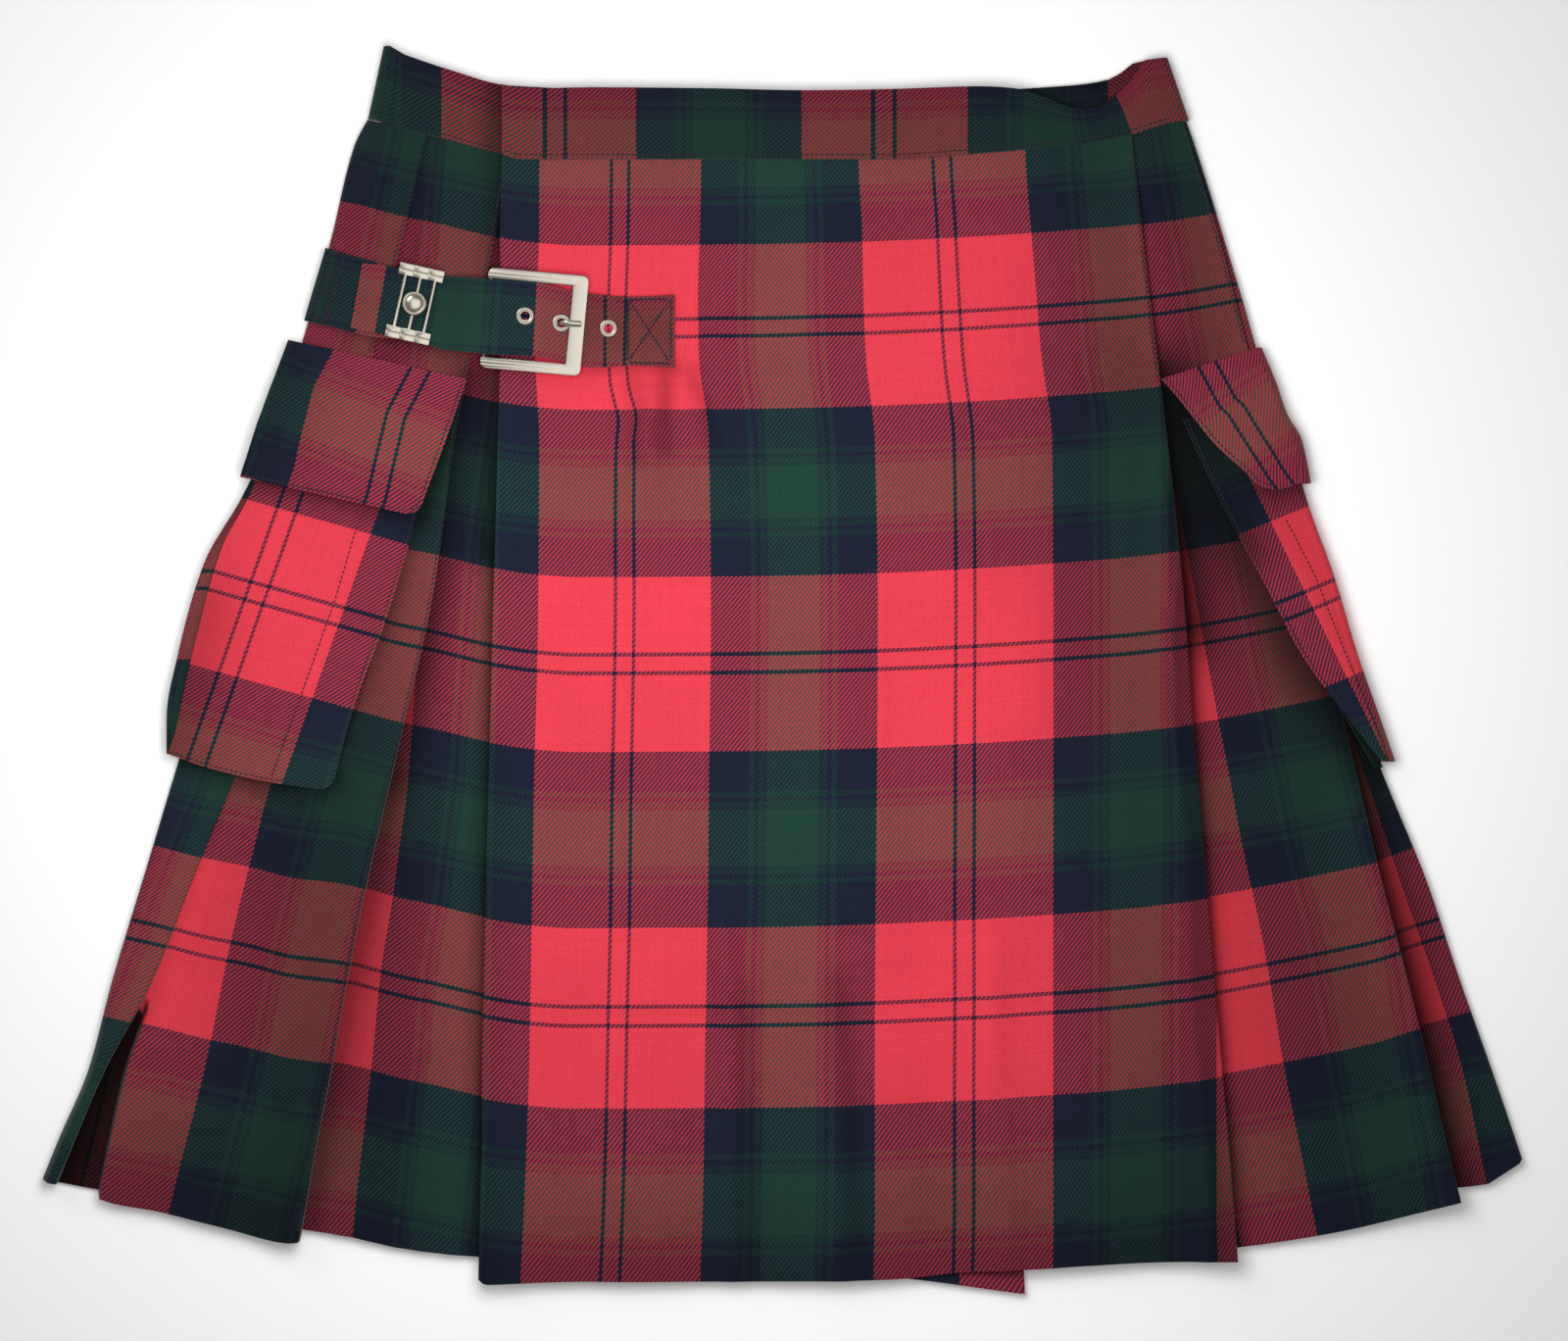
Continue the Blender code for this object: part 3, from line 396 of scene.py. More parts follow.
def count_threads(way, threads, heights):
    """Number the lengthwise threads: fixed where they are named, and by the cloth's length elsewhere."""
    named = [i for i, thread in enumerate(threads) if thread is not None]
    across = way.copy()
    if not named:
        return across
    values = {i: as_function(threads[i])(heights[:, i]) for i in named}
    first, last = named[0], named[-1]
    across[:, :first + 1] = values[first][:, None] + way[:, :first + 1] - way[:, first:first + 1]
    for a, b in zip(named, named[1:]):
        share = (way[:, a:b + 1] - way[:, a:a + 1]) / (way[:, b:b + 1] - way[:, a:a + 1])
        across[:, a:b + 1] = values[a][:, None] + (values[b] - values[a])[:, None] * share
    across[:, last:] = values[last][:, None] + way[:, last:] - way[:, last:last + 1]
    return across


def thread_at(edge, colour, thread):
    """The lengthwise thread at an edge, counted from a colour line whose thread is known."""
    colour_line = line(colour)
    return lambda y: thread + edge(y) - colour_line(y)


print("a panel has a row every", ROW_STEP, "mm")

# %% [markdown]
# ## From a grid to a piece of cloth
#
# The grid is the cloth's middle. A Solidify modifier gives it its wall, and the thread numbers become a UV
# map in metres, which the weave material reads. The modifier is applied, so the mesh is final.

# %% Make a piece of cloth from a grid
FLAT_SIZES = {}
CLOTH_SHARP = radians(50)


def place_object(name, data):
    """A new object in the scene."""
    made = bpy.data.objects.new(name, data)
    bpy.context.scene.collection.objects.link(made)
    return made


def measure(name, points):
    """Keep the cut of a sheet: its greatest width, its greatest length and its area."""
    wide = np.linalg.norm(np.diff(points, axis=1), axis=2).sum(axis=1).max()
    long = np.linalg.norm(np.diff(points, axis=0), axis=2).sum(axis=0).max()
    first = points[1:, 1:] - points[:-1, :-1]
    second = points[1:, :-1] - points[:-1, 1:]
    cut = np.linalg.norm(np.cross(first, second), axis=2).sum() / 2
    FLAT_SIZES[name] = (wide * MM, long * MM, cut * MM * MM)


def cloth_mesh(name, points, warp, weft, wall):
    """A sheet of cloth with its wall and its thread map."""
    rows, columns = points.shape[:2]
    measure(name, points)
    mesh = bpy.data.meshes.new(name)
    flat = (points.reshape(-1, 3) + np.array(SHIFT)) * MM
    index = np.arange(rows * columns).reshape(rows, columns)
    corners = np.stack([index[:-1, :-1], index[1:, :-1], index[1:, 1:], index[:-1, 1:]], axis=2)
    mesh.from_pydata(flat.tolist(), [], corners.reshape(-1, 4).tolist())
    threads = np.stack([warp, weft], axis=2).reshape(-1, 2) * MM
    layer = mesh.uv_layers.new(name="threads")
    loops = np.zeros(len(mesh.loops), int)
    mesh.loops.foreach_get("vertex_index", loops)
    layer.data.foreach_set("uv", threads[loops].astype(np.float32).ravel())
    piece = place_object(name, mesh)
    wall_maker = piece.modifiers.new("wall", "SOLIDIFY")
    wall_maker.thickness = wall * MM
    wall_maker.offset = 0
    wall_maker.use_even_offset = False
    bpy.context.view_layer.objects.active = piece
    bpy.ops.object.modifier_apply(modifier="wall")
    piece.data.shade_smooth()
    piece.data.set_sharp_from_angle(angle=CLOTH_SHARP)
    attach(piece, "root")
    return piece


def panel_mesh(name, strip, lift=None):
    """The sheet of a pleated panel, with the crosswise threads of the skirt."""
    points, warp = strip.grid(lift)
    return cloth_mesh(name, points, warp, weft_place(points[:, :, 0], points[:, :, 1]), CLOTH)


def finish_piece(piece, material, *nodes):
    """Dress a piece and let it stand for its frame nodes."""
    piece.data.materials.clear()
    piece.data.materials.append(material)
    if nodes:
        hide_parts(*nodes)
    print(piece.name, len(piece.data.polygons), "faces")
    return piece


# %% [markdown]
# ## The tartan weave
#
# In a two-and-two twill each thread goes over two and under two, and the step moves by one thread in each
# row, which draws the diagonal. Where the lengthwise thread is on top, its colour shows, and elsewhere the
# crosswise one does. So a block of red on red is plain red, and red on navy is a fine diagonal of both.
# Two node groups do this: one reads the sett's colour at a thread, and one says which thread is on top.

# %% Colours and small node helpers
COLOURS = {
    "red":   (0.690, 0.043, 0.066, 1),
    "navy":  (0.0120, 0.0175, 0.044, 1),
    "green": (0.0165, 0.070, 0.050, 1),
    "dusk":  (0.0135, 0.045, 0.045, 1),
    "shade": (0.0120, 0.034, 0.040, 1),
}
WARP_THREAD = 0.56
WEFT_THREAD = 0.68


def set_input(tree, socket, value):
    """Give a socket a number or a colour, or link it to another socket."""
    if isinstance(value, (int, float, tuple)):
        socket.default_value = value
    else:
        tree.links.new(value, socket)


def add_math(tree, operation, first, second=None, clamp=False):
    """A Math node; each input is a number or a socket."""
    node = tree.nodes.new("ShaderNodeMath")
    node.operation = operation
    node.use_clamp = clamp
    for socket, value in zip(node.inputs, (first, second)):
        if value is not None:
            set_input(tree, socket, value)
    return node.outputs[0]


def add_mix(tree, factor, first, second):
    """Mix two colours; each input is a value or a socket."""
    node = tree.nodes.new("ShaderNodeMix")
    node.data_type = "RGBA"
    for label, value in (("Factor", factor), ("A", first), ("B", second)):
        set_input(tree, node.inputs[label], value)
    return node.outputs["Result"]


def new_group(name, inputs, outputs):
    """An empty shader node group with named sockets."""
    group = bpy.data.node_groups.new(name, "ShaderNodeTree")
    for label, kind, value in inputs:
        socket = group.interface.new_socket(label, in_out="INPUT", socket_type=kind)
        if value is not None:
            socket.default_value = value
    for label, kind in outputs:
        group.interface.new_socket(label, in_out="OUTPUT", socket_type=kind)
    return group, group.nodes.new("NodeGroupInput"), group.nodes.new("NodeGroupOutput")


# %% Node group: colour of a thread
def build_sett_group():
    group, source, result = new_group(
        "sett_colour", [("Place", "NodeSocketFloat", 0.0)], [("Colour", "NodeSocketColor")])
    turns = add_math(group, "DIVIDE", source.outputs["Place"], SETT * MM)
    share = add_math(group, "FRACT", turns)
    ramp = group.nodes.new("ShaderNodeValToRGB")
    ramp.color_ramp.interpolation = "CONSTANT"
    stops = ramp.color_ramp.elements
    place = 0
    for number, (colour, width) in enumerate(THREAD_COUNT):
        stop = stops[number] if number < 2 else stops.new(min(place / SETT, 0.9999))
        stop.position = place / SETT
        stop.color = COLOURS[colour]
        place += width
    group.links.new(share, ramp.inputs["Fac"])
    group.links.new(ramp.outputs["Color"], result.inputs["Colour"])
    return group


sett_group = build_sett_group()
print("the sett has", len(THREAD_COUNT), "stripes")


# %% Node group: the twill
def build_twill_group():
    group, source, result = new_group(
        "tartan_twill",
        [("Threads", "NodeSocketVector", None), ("Unevenness", "NodeSocketFloat", 0.1)],
        [("Colour", "NodeSocketColor"), ("Height", "NodeSocketFloat"), ("Lengthwise", "NodeSocketFloat")])
    links = group.links
    split = group.nodes.new("ShaderNodeSeparateXYZ")
    links.new(source.outputs["Threads"], split.inputs[0])
    sides = {}
    for label, axis, thick in (("warp", "X", WARP_THREAD * MM), ("weft", "Y", WEFT_THREAD * MM)):
        number = add_math(group, "DIVIDE", split.outputs[axis], thick)
        whole = add_math(group, "FLOOR", number)
        part = add_math(group, "FRACT", number)
        middle = add_math(group, "MULTIPLY", add_math(group, "ADD", whole, 0.5), thick)
        sett = group.nodes.new("ShaderNodeGroup")
        sett.node_tree = sett_group
        links.new(middle, sett.inputs["Place"])
        noise = group.nodes.new("ShaderNodeTexWhiteNoise")
        noise.noise_dimensions = "1D"
        links.new(whole, noise.inputs["W"])
        spread = add_math(group, "MULTIPLY", add_math(group, "SUBTRACT", noise.outputs["Value"], 0.5),
                          source.outputs["Unevenness"])
        tone = add_math(group, "ADD", spread, 1.0)
        hue = group.nodes.new("ShaderNodeHueSaturation")
        links.new(sett.outputs["Colour"], hue.inputs["Color"])
        links.new(tone, hue.inputs["Value"])
        swing = add_math(group, "SUBTRACT", add_math(group, "MULTIPLY", part, 2.0), 1.0)
        crown = add_math(group, "SUBTRACT", 1.0, add_math(group, "MULTIPLY", swing, swing))
        sides[label] = (whole, hue.outputs["Color"], crown)
    step = add_math(group, "FLOORED_MODULO", add_math(group, "ADD", sides["warp"][0], sides["weft"][0]), 4.0)
    over = add_math(group, "LESS_THAN", step, 2.0)
    colour = add_mix(group, over, sides["weft"][1], sides["warp"][1])
    under = add_mix(group, over, sides["warp"][1], sides["weft"][1])
    # Painted shade between the threads: the top thread is darkened where a dark thread lies under it.
    parts = group.nodes.new("ShaderNodeSeparateColor")
    links.new(under, parts.inputs["Color"])
    bright = add_math(group, "MULTIPLY", parts.outputs["Red"], 1.6, clamp=True)
    shade = add_math(group, "ADD", add_math(group, "MULTIPLY", bright, 0.38), 0.62)
    shaded = group.nodes.new("ShaderNodeHueSaturation")
    links.new(colour, shaded.inputs["Color"])
    links.new(shade, shaded.inputs["Value"])
    links.new(shaded.outputs["Color"], result.inputs["Colour"])
    height = group.nodes.new("ShaderNodeMix")
    links.new(over, height.inputs["Factor"])
    links.new(sides["weft"][2], height.inputs["A"])
    links.new(sides["warp"][2], height.inputs["B"])
    links.new(height.outputs["Result"], result.inputs["Height"])
    links.new(over, result.inputs["Lengthwise"])
    return group


twill_group = build_twill_group()
print("a lengthwise thread is", WARP_THREAD, "mm wide and a crosswise one", WEFT_THREAD)


# %% [markdown]
# ## Wool
#
# The material reads the thread map, puts the twill's colour on a matt, slightly fuzzy surface, and adds a
# fine nap and a broad unevenness, because wool is never one tone. Sheen gives the pale bloom that wool has
# at a low angle. The colour is then darkened by the painted shade that each piece carries as a soft mask.

# %% Helpers for materials
def new_material(name):
    """A new material, its node tree and its shader."""
    material = bpy.data.materials.new(name)
    material.use_nodes = True
    tree = material.node_tree
    return material, tree, tree.nodes["Principled BSDF"]


def add_noise(tree, scale, detail=2):
    """A soft random value that is fixed to the piece."""
    place = tree.nodes.new("ShaderNodeTexCoord")
    cloud = tree.nodes.new("ShaderNodeTexNoise")
    cloud.inputs["Scale"].default_value = scale
    cloud.inputs["Detail"].default_value = detail
    tree.links.new(place.outputs["Object"], cloud.inputs["Vector"])
    return cloud.outputs["Fac"]


# %% Material: tartan wool
WOOL_NAP, WOOL_CLOUD = 0.35, 0.22
THREAD_CROWN = 0.12


def build_wool(name):
    material, tree, shader = new_material(name)
    links = tree.links
    shader.inputs["Sheen Weight"].default_value = 0.12
    shader.inputs["Sheen Roughness"].default_value = 0.45
    shader.inputs["Specular IOR Level"].default_value = 0.25
    uv = tree.nodes.new("ShaderNodeUVMap")
    uv.uv_map = "threads"
    twill = tree.nodes.new("ShaderNodeGroup")
    twill.node_tree = twill_group
    twill.inputs["Unevenness"].default_value = 0.11
    links.new(uv.outputs["UV"], twill.inputs["Threads"])
    fuzz = add_noise(tree, 900, 3)
    cloud = add_noise(tree, 14, 3)
    mottled = add_math(tree, "MULTIPLY", add_math(tree, "SUBTRACT", fuzz, 0.5), WOOL_NAP)
    clouded = add_math(tree, "MULTIPLY", add_math(tree, "SUBTRACT", cloud, 0.5), WOOL_CLOUD)
    value = add_math(tree, "ADD", add_math(tree, "ADD", mottled, clouded), 1.0)
    # Painted shade: the mask darkens the colour in the tucks, beside edges, under flaps and towards the
    # sides.
    painted_shade = tree.nodes.new("ShaderNodeAttribute")
    painted_shade.attribute_name = "painted_shade"
    value = add_math(tree, "MULTIPLY", value, add_math(tree, "SUBTRACT", 1.0, painted_shade.outputs["Fac"]))
    hue = tree.nodes.new("ShaderNodeHueSaturation")
    links.new(twill.outputs["Colour"], hue.inputs["Color"])
    links.new(value, hue.inputs["Value"])
    links.new(hue.outputs["Color"], shader.inputs["Base Color"])
    rough = add_math(tree, "ADD", add_math(tree, "MULTIPLY", cloud, 0.14), 0.72)
    links.new(rough, shader.inputs["Roughness"])
    relief = add_math(tree, "ADD", twill.outputs["Height"], add_math(tree, "MULTIPLY", fuzz, 0.6))
    bump = tree.nodes.new("ShaderNodeBump")
    bump.inputs["Strength"].default_value = 0.35
    bump.inputs["Distance"].default_value = THREAD_CROWN * MM
    links.new(relief, bump.inputs["Height"])
    links.new(bump.outputs["Normal"], shader.inputs["Normal"])
    return material


wool = build_wool("kilt_wool")
print("made", wool.name)

# %% [markdown]
# ## Soft creases
#
# Laid cloth is never quite flat: it keeps shallow ridges from the last wear. Each row of `APRON_CREASES` is
# one ridge or trough on the over apron, with where it starts and ends, how wide and how high it is.
# They fade out under the strap, so that what lies on the cloth stays clear of it.

# %% Creases on the over apron
APRON_CREASES = (
    ((-88, 90), (-92, -60), 26, 1.5),
    ((-60, 60), (-70, -150), 34, -1.8),
    ((10, 250), (24, 130), 22, 1.7),
    ((25, 120), (36, -60), 30, 1.4),
    ((-10, -60), (5, -250), 36, 1.9),
    ((60, 20), (70, -170), 30, -1.6),
    ((130, 60), (140, -120), 34, 1.7),
    ((191, 110), (199, -40), 8, 2.4),
    ((193.5, 40), (216, -300), 8, 3.3),
    ((-30, -120), (-26, -312), 14, 3.4),
    ((-95, -150), (-100, -312), 20, -1.9),
    ((20, -140), (30, -312), 18, 3.2),
    ((75, -190), (82, -310), 22, -1.9),
    ((-120, -30), (-128, -200), 24, 1.5),
    ((-70, 150), (-66, 88), 10, 3.6),
    ((-58, 150), (-88, 92), 9, 3.2),
    ((-50, 152), (-30, 100), 9, 2.9),
    ((100, 150), (120, 40), 30, -1.5),
    ((150, -120), (160, -300), 26, 2.1),
    ((-20, 230), (-40, 150), 20, 1.6),
    ((105, -130), (112, -312), 16, 2.6),
)


def crease_lift(table, x, y):
    """Height of the soft ridges and troughs at each place."""
    total = np.zeros(np.shape(x))
    for (ax, ay), (bx, by), width, height in table:
        length = np.hypot(bx - ax, by - ay)
        along_x, along_y = (bx - ax) / length, (by - ay) / length
        far = (x - ax) * along_x + (y - ay) * along_y
        off = (x - ax) * -along_y + (y - ay) * along_x + 1.5 * np.sin(far / 23 + ax)
        ridge = np.exp(-(off / (width * .5)) ** 2)
        ends = soft_step(far, -18, 24) * (1 - soft_step(far, length - 24, length + 18))
        total += height * ridge * ends
    return total


def clear_of_strap(x, y):
    """0 under the strap and its buckle, 1 away from them."""
    inside = (1 - soft_step(x, -50, -34)) * soft_step(y, 140, 150) * (1 - soft_step(y, 208, 218))
    return 1 - inside


def apron_lift(x, y, z):
    """How far the over apron's face rises: its creases, its two rolled edges and its hem."""
    upper = soft_step(z, FRONT_RETURN + .05, FRONT_RETURN + .3)
    edge_roll = 4.0 * np.exp(-((x - apron_edge(y)) / 24) ** 2) * (1 - soft_step(y, 20, 140))
    fold_roll = 4.2 * np.exp(-((x - apron_fold(y)) / 18) ** 2) * (1 - soft_step(y, 20, 140))
    hem_wave = 1.1 * (1 + np.sin(x / 17.0)) * (1 - soft_step(y, -300, -200))
    ripples = np.maximum(2.0 + crease_lift(APRON_CREASES, x, y), -.1)
    below_yoke = 1 - soft_step(y, 225, 255)
    return (ripples * below_yoke + edge_roll + fold_roll + hem_wave) * clear_of_strap(x, y) * upper


# %% [markdown]
# ## The over apron
#
# The over apron is the front that shows. Its left edge is free, and at the right it folds under as the first
# knife pleat. The columns run through the tartan's own lines, so each block of colour lies where it should.

# %% The over apron
def apron_level(share):
    """The over apron's height across its width, from its free edge to its fold."""
    def level(y):
        top = soft_step(y, 215, 255)
        free = FRONT + LAYER + .9
        middle = FRONT + LAYER + .35
        low = free + (middle - free) * soft_step(share, 0, .3)
        low = low + (FRONT_FACE - low) * soft_step(share, .78, .9)
        high = BAND_OVER - .3 + (FRONT_FACE - BAND_OVER + .3) * soft_step(share, .8, .92)
        return low + (high - low) * top
    return level


FINE_ROW_STEP, FINE_COLUMN_STEP = 3.4, 2.7
APRON_RETURN = 20


def build_over_apron():
    over = Strip(HEM_OVER, row_step=FINE_ROW_STEP, column_step=FINE_COLUMN_STEP)
    over.at(apron_edge, apron_level(0))
    over.at(line("red_1"), apron_level(.06), thread=0)
    over.at(line("dark_1"), apron_level(.31), thread=RED_BLOCK)
    over.at(line("red_2"), apron_level(.56), thread=SETT)
    over.at(line("dark_2"), apron_level(.8), thread=SECOND_DARK)
    over.at(beside(apron_fold, -APRON_RETURN - 2), apron_level(.93))
    over.turn(apron_fold, FRONT_FACE, FRONT_RETURN, 1)
    over.at(beside(apron_fold, -APRON_RETURN), FRONT_RETURN)
    return panel_mesh("apron_over", over, apron_lift)


apron_over = finish_piece(build_over_apron(), wool, "over_apron")

# %% [markdown]
# ## The right side
#
# Behind the over apron's fold the cloth comes back out as the face of a second pleat. It folds under again,
# comes out as a third, and turns round the right side to the back. The tucks hide part of the sett, so each
# face is given its own place in the pattern. Two panels meet inside a tuck, where nobody sees the seam:
# `PANEL_JOIN` is the share of the tuck's depth at which they do.

# %% The right side panel
BACK_FOLDS = (.16, .28, .40, .52, .64, .76, .88)
BACK_DEPTH = .034
RIGHT_TUCK = 34
PANEL_JOIN = .4


def back_fold(number):
    """The line of a back pleat's fold, counted from the right side."""
    return between(right_side, left_side, BACK_FOLDS[number])


def back_depth(y):
    """How deep a back pleat is tucked."""
    return BACK_DEPTH * (right_side(y) - left_side(y))


def pocket_lift(y):
    """Height of the right side's back layer, raised where the right pocket wraps under it."""
    return BACK + (BACK_INNER + .5 - BACK) * soft_step(y, -150, -100) * (1 - soft_step(y, 180, 215))


def right_depth(y):
    """How deep the right front pleat is tucked under its fold."""
    return np.minimum(32, right_fold(y) - apron_fold(y) - 11)


def right_lift(x, y, z):
    """The pleat's fold stands a little proud towards the hem."""
    upper = soft_step(z, FRONT_RETURN + .6, FRONT_FACE)
    low = 1 - soft_step(y, -150, 0)
    fold = 5.0 * np.exp(-((x - right_fold(y)) / 18) ** 2)
    swell = 1.6 * np.sin((x - apron_fold(y)) / 21.0) ** 2 * (1 - soft_step(y, -120, 20))
    return (fold * low + swell) * upper


def build_right_side():
    right = Strip(HEM_RIGHT)
    right.at(beside(apron_fold, -APRON_RETURN - .8), FRONT_RETURN)
    right.turn(beside(apron_fold, -RIGHT_TUCK), FRONT_RETURN, FRONT, -1)
    face = beside(apron_fold, -3)
    right.at(face, FRONT, thread=thread_at(face, "dark_right", RED_BLOCK))
    right.at(beside(right_fold, lambda y: -right_depth(y) - 1), FRONT_FACE)
    right.turn(right_fold, FRONT_FACE, FRONT_RETURN, 1, thread=thread_at(right_fold, "dark_right", RED_BLOCK))
    inner_fold = beside(right_fold, lambda y: -right_depth(y))
    right.turn(inner_fold, FRONT_RETURN, FRONT, -1, hem=HEM_RIGHT_INNER)
    second_face = beside(right_fold, -2)
    right.at(second_face, FRONT, hem=HEM_RIGHT_INNER, thread=thread_at(second_face, "dark_tuck", SECOND_DARK))
    right.turn(right_side, FRONT, pocket_lift, 1, hem=HEM_RIGHT_INNER,
               thread=thread_at(right_side, "dark_tuck", SECOND_DARK))
    first_fold = back_fold(0)
    right.at(beside(first_fold, lambda y: back_depth(y) + 12), pocket_lift, hem=HEM_BACK)
    right.at(beside(first_fold, lambda y: back_depth(y) + 5), BACK, hem=HEM_BACK)
    right.turn(first_fold, BACK, BACK_RETURN, -1, hem=HEM_BACK)
    right.at(beside(first_fold, lambda y: back_depth(y) * PANEL_JOIN), BACK_RETURN, hem=HEM_BACK)
    return panel_mesh("side_right", right, right_lift)


side_right = finish_piece(build_right_side(), wool, "right_side_panel")

# %% [markdown]
# ## The back
#
# The back lies face down: seven knife pleats, all folded one way, with their faces on the table. A kilt has
# the same cloth at its waist as at its hem, so each pleat's fold keeps one thread from top to bottom, and
# the tuck takes up the rest.

# %% The back panel
BACK_PITCH = 141.0
BACK_STEP = 13.0


def face_start(number):
    """The thread that lies where a back pleat's face comes out of its tuck."""
    fold, next_fold = back_fold(number), back_fold(number + 1)
    return lambda y: (number + 1) * BACK_PITCH - (fold(y) - BACK_STEP - next_fold(y))


def build_back():
    back = Strip(HEM_BACK, drop=1.6)
    back.at(beside(back_fold(0), lambda y: back_depth(y) * PANEL_JOIN + 3), BACK_RETURN, thread=0)
    last = len(BACK_FOLDS) - 1
    for number in range(len(BACK_FOLDS)):
        fold = back_fold(number)
        if number:
            back.turn(fold, BACK, BACK_RETURN, -1, thread=number * BACK_PITCH)
        if number < last:
            back.turn(beside(fold, back_depth), BACK_RETURN, BACK_INNER, 1)
            back.at(beside(fold, -3), BACK_INNER)
            back.at(beside(fold, -BACK_STEP), BACK, thread=face_start(number))
    back.at(beside(back_fold(last), lambda y: back_depth(y) * PANEL_JOIN), BACK_RETURN)
    return panel_mesh("back_pleats", back)


back_pleats = finish_piece(build_back(), wool, "back_panel")

# %% [markdown]
# ## The left side
#
# At the left the back comes round to the front and folds under as a wrap pleat, which stands open at the hem.
# Then comes the side pleat's broad face, and its fold.

# %% The left side panel
def side_depth(y):
    """How deep the left side pleat is tucked under its fold."""
    return np.minimum(36, side_fold(y) - wrap_fold(y) - 11)


def wrap_depth(y):
    """How deep the left wrap pleat is tucked; at the hem the pleat stands open."""
    return np.clip(wrap_fold(y) - left_side(y) - 12, 2.7, 20)


def wrap_level(y):
    """Height of the wrap pleat where it comes round the left side."""
    return FRONT + (FRONT_FACE - FRONT) * soft_step(-np.asarray(y, float), 90, 160)


def ridge_level(y):
    """Height of the side pleat's left edge, which stands clear where the wrap pleat opens."""
    return FRONT + 3.4 * soft_step(-np.asarray(y, float), 150, 200)


def pit_level(y):
    """Height of the cloth inside the wrap pleat, which sinks where the pleat opens."""
    return FRONT - 2.8 * soft_step(-np.asarray(y, float), 160, 220)


def left_lift(x, y, z):
    """The side pleat's fold stands proud towards the hem, and its face swells softly."""
    upper = soft_step(z, FRONT_RETURN + .6, FRONT_FACE)
    low = 1 - soft_step(y, -130, 60)
    fold = 5.0 * np.exp(-((x - side_fold(y)) / 18) ** 2) * low
    swell = 1.4 * np.sin((x - left_side(y)) / 19.0) ** 2 * (1 - soft_step(y, -140, -20))
    wrap = 4.0 * np.exp(-((x - wrap_fold(y)) / 10) ** 2) * (1 - soft_step(y, -190, -90)) * (x < wrap_fold(y))
    return ((fold + swell) * soft_step(x - wrap_fold(y), 2, 12) + wrap) * upper


WRAP_FOLD_THREAD = 128


def build_left_side():
    last_fold = back_fold(len(BACK_FOLDS) - 1)
    left = Strip(HEM_LEFT)
    left.at(beside(last_fold, lambda y: back_depth(y) * PANEL_JOIN + 3), BACK_RETURN, hem=HEM_BACK)
    left.turn(beside(last_fold, back_depth), BACK_RETURN, BACK_INNER, 1, hem=HEM_BACK)
    left.at(beside(last_fold, -3), BACK_INNER, hem=HEM_BACK)
    left.at(beside(last_fold, -BACK_STEP), BACK, hem=HEM_BACK)
    left.at(between(last_fold, left_side, .6), BACK, hem=HEM_BACK)
    left.turn(left_side, BACK, wrap_level, -1,
              thread=lambda y: WRAP_FOLD_THREAD - wrap_fold(y) + left_side(y))
    wrap_inner = beside(wrap_fold, lambda y: -wrap_depth(y))
    wrap_end = beside(wrap_fold, lambda y: -np.minimum(wrap_depth(y) + 1.5,
                                                       (wrap_fold(y) - left_side(y) - 4) * .8))
    left.at(wrap_end, FRONT_FACE)
    left.turn(wrap_fold, FRONT_FACE, FRONT_RETURN, 1, thread=WRAP_FOLD_THREAD)
    left.turn(wrap_inner, FRONT_RETURN, FRONT, -1)
    pit = beside(wrap_fold, -1.5)
    left.at(pit, pit_level, thread=thread_at(pit, "dark_left", SECOND_DARK))
    left.at(beside(wrap_under, -2.5), pit_level)
    left.at(wrap_under, ridge_level, thread=thread_at(wrap_under, "dark_left", SECOND_DARK))
    side_rise = beside(side_fold, lambda y: -side_depth(y) - 1)
    left.at(between(wrap_under, side_rise, .4), lambda y: FRONT + .7 + .4 * (ridge_level(y) - FRONT))
    left.at(side_rise, FRONT_FACE)
    left.turn(side_fold, FRONT_FACE, FRONT_RETURN, 1, thread=thread_at(side_fold, "dark_left", SECOND_DARK))
    left.at(beside(side_fold, lambda y: -side_depth(y) * PANEL_JOIN), FRONT_RETURN)
    return panel_mesh("side_left", left, left_lift)


side_left = finish_piece(build_left_side(), wool, "left_side_panel")

# %% [markdown]
# ## The under apron
#
# The other end of the strip lies under the over apron. It shows as a strip at the left and as a corner that
# peeks out below the hem.

# %% The under apron
def under_lift(x, y, z):
    """Soft ridges down the strip that shows beside the over apron."""
    shown = soft_step(x - side_fold(y), 2, 12) * (1 - soft_step(x - apron_edge(y), -16, -5))
    ridge = np.sin((x - side_fold(y)) / 4.6) ** 2
    return 1.7 * ridge * shown * (1 - soft_step(y, 60, 140)) * (z > FRONT - .1)


UNDER_EDGE_THREAD = SECOND_DARK + SETT - 62


def build_under_apron():
    under = Strip(HEM_UNDER, drop=1.6)
    under.at(beside(side_fold, lambda y: -side_depth(y) * PANEL_JOIN - .8), FRONT_RETURN)
    under.turn(beside(side_fold, lambda y: -side_depth(y)), FRONT_RETURN, FRONT, -1)
    for edge in (beside(side_fold, -2), beside(apron_edge, 6)):
        under.at(edge, FRONT, thread=thread_at(edge, "dark_under", RED_BLOCK))
    under.at(under_edge, FRONT, thread=UNDER_EDGE_THREAD)
    return panel_mesh("apron_under", under, under_lift)


apron_under = finish_piece(build_under_apron(), wool, "under_apron")

# %% [markdown]
# ## The waistband
#
# The band is one strip, doubled round the skirt's upper edge. Its cloth is cut the other way, with the
# lengthwise threads along the band, which is why its twill leans the other way. In front its upper edge is
# soft and dips near the right side, where the back of the band shows behind it.

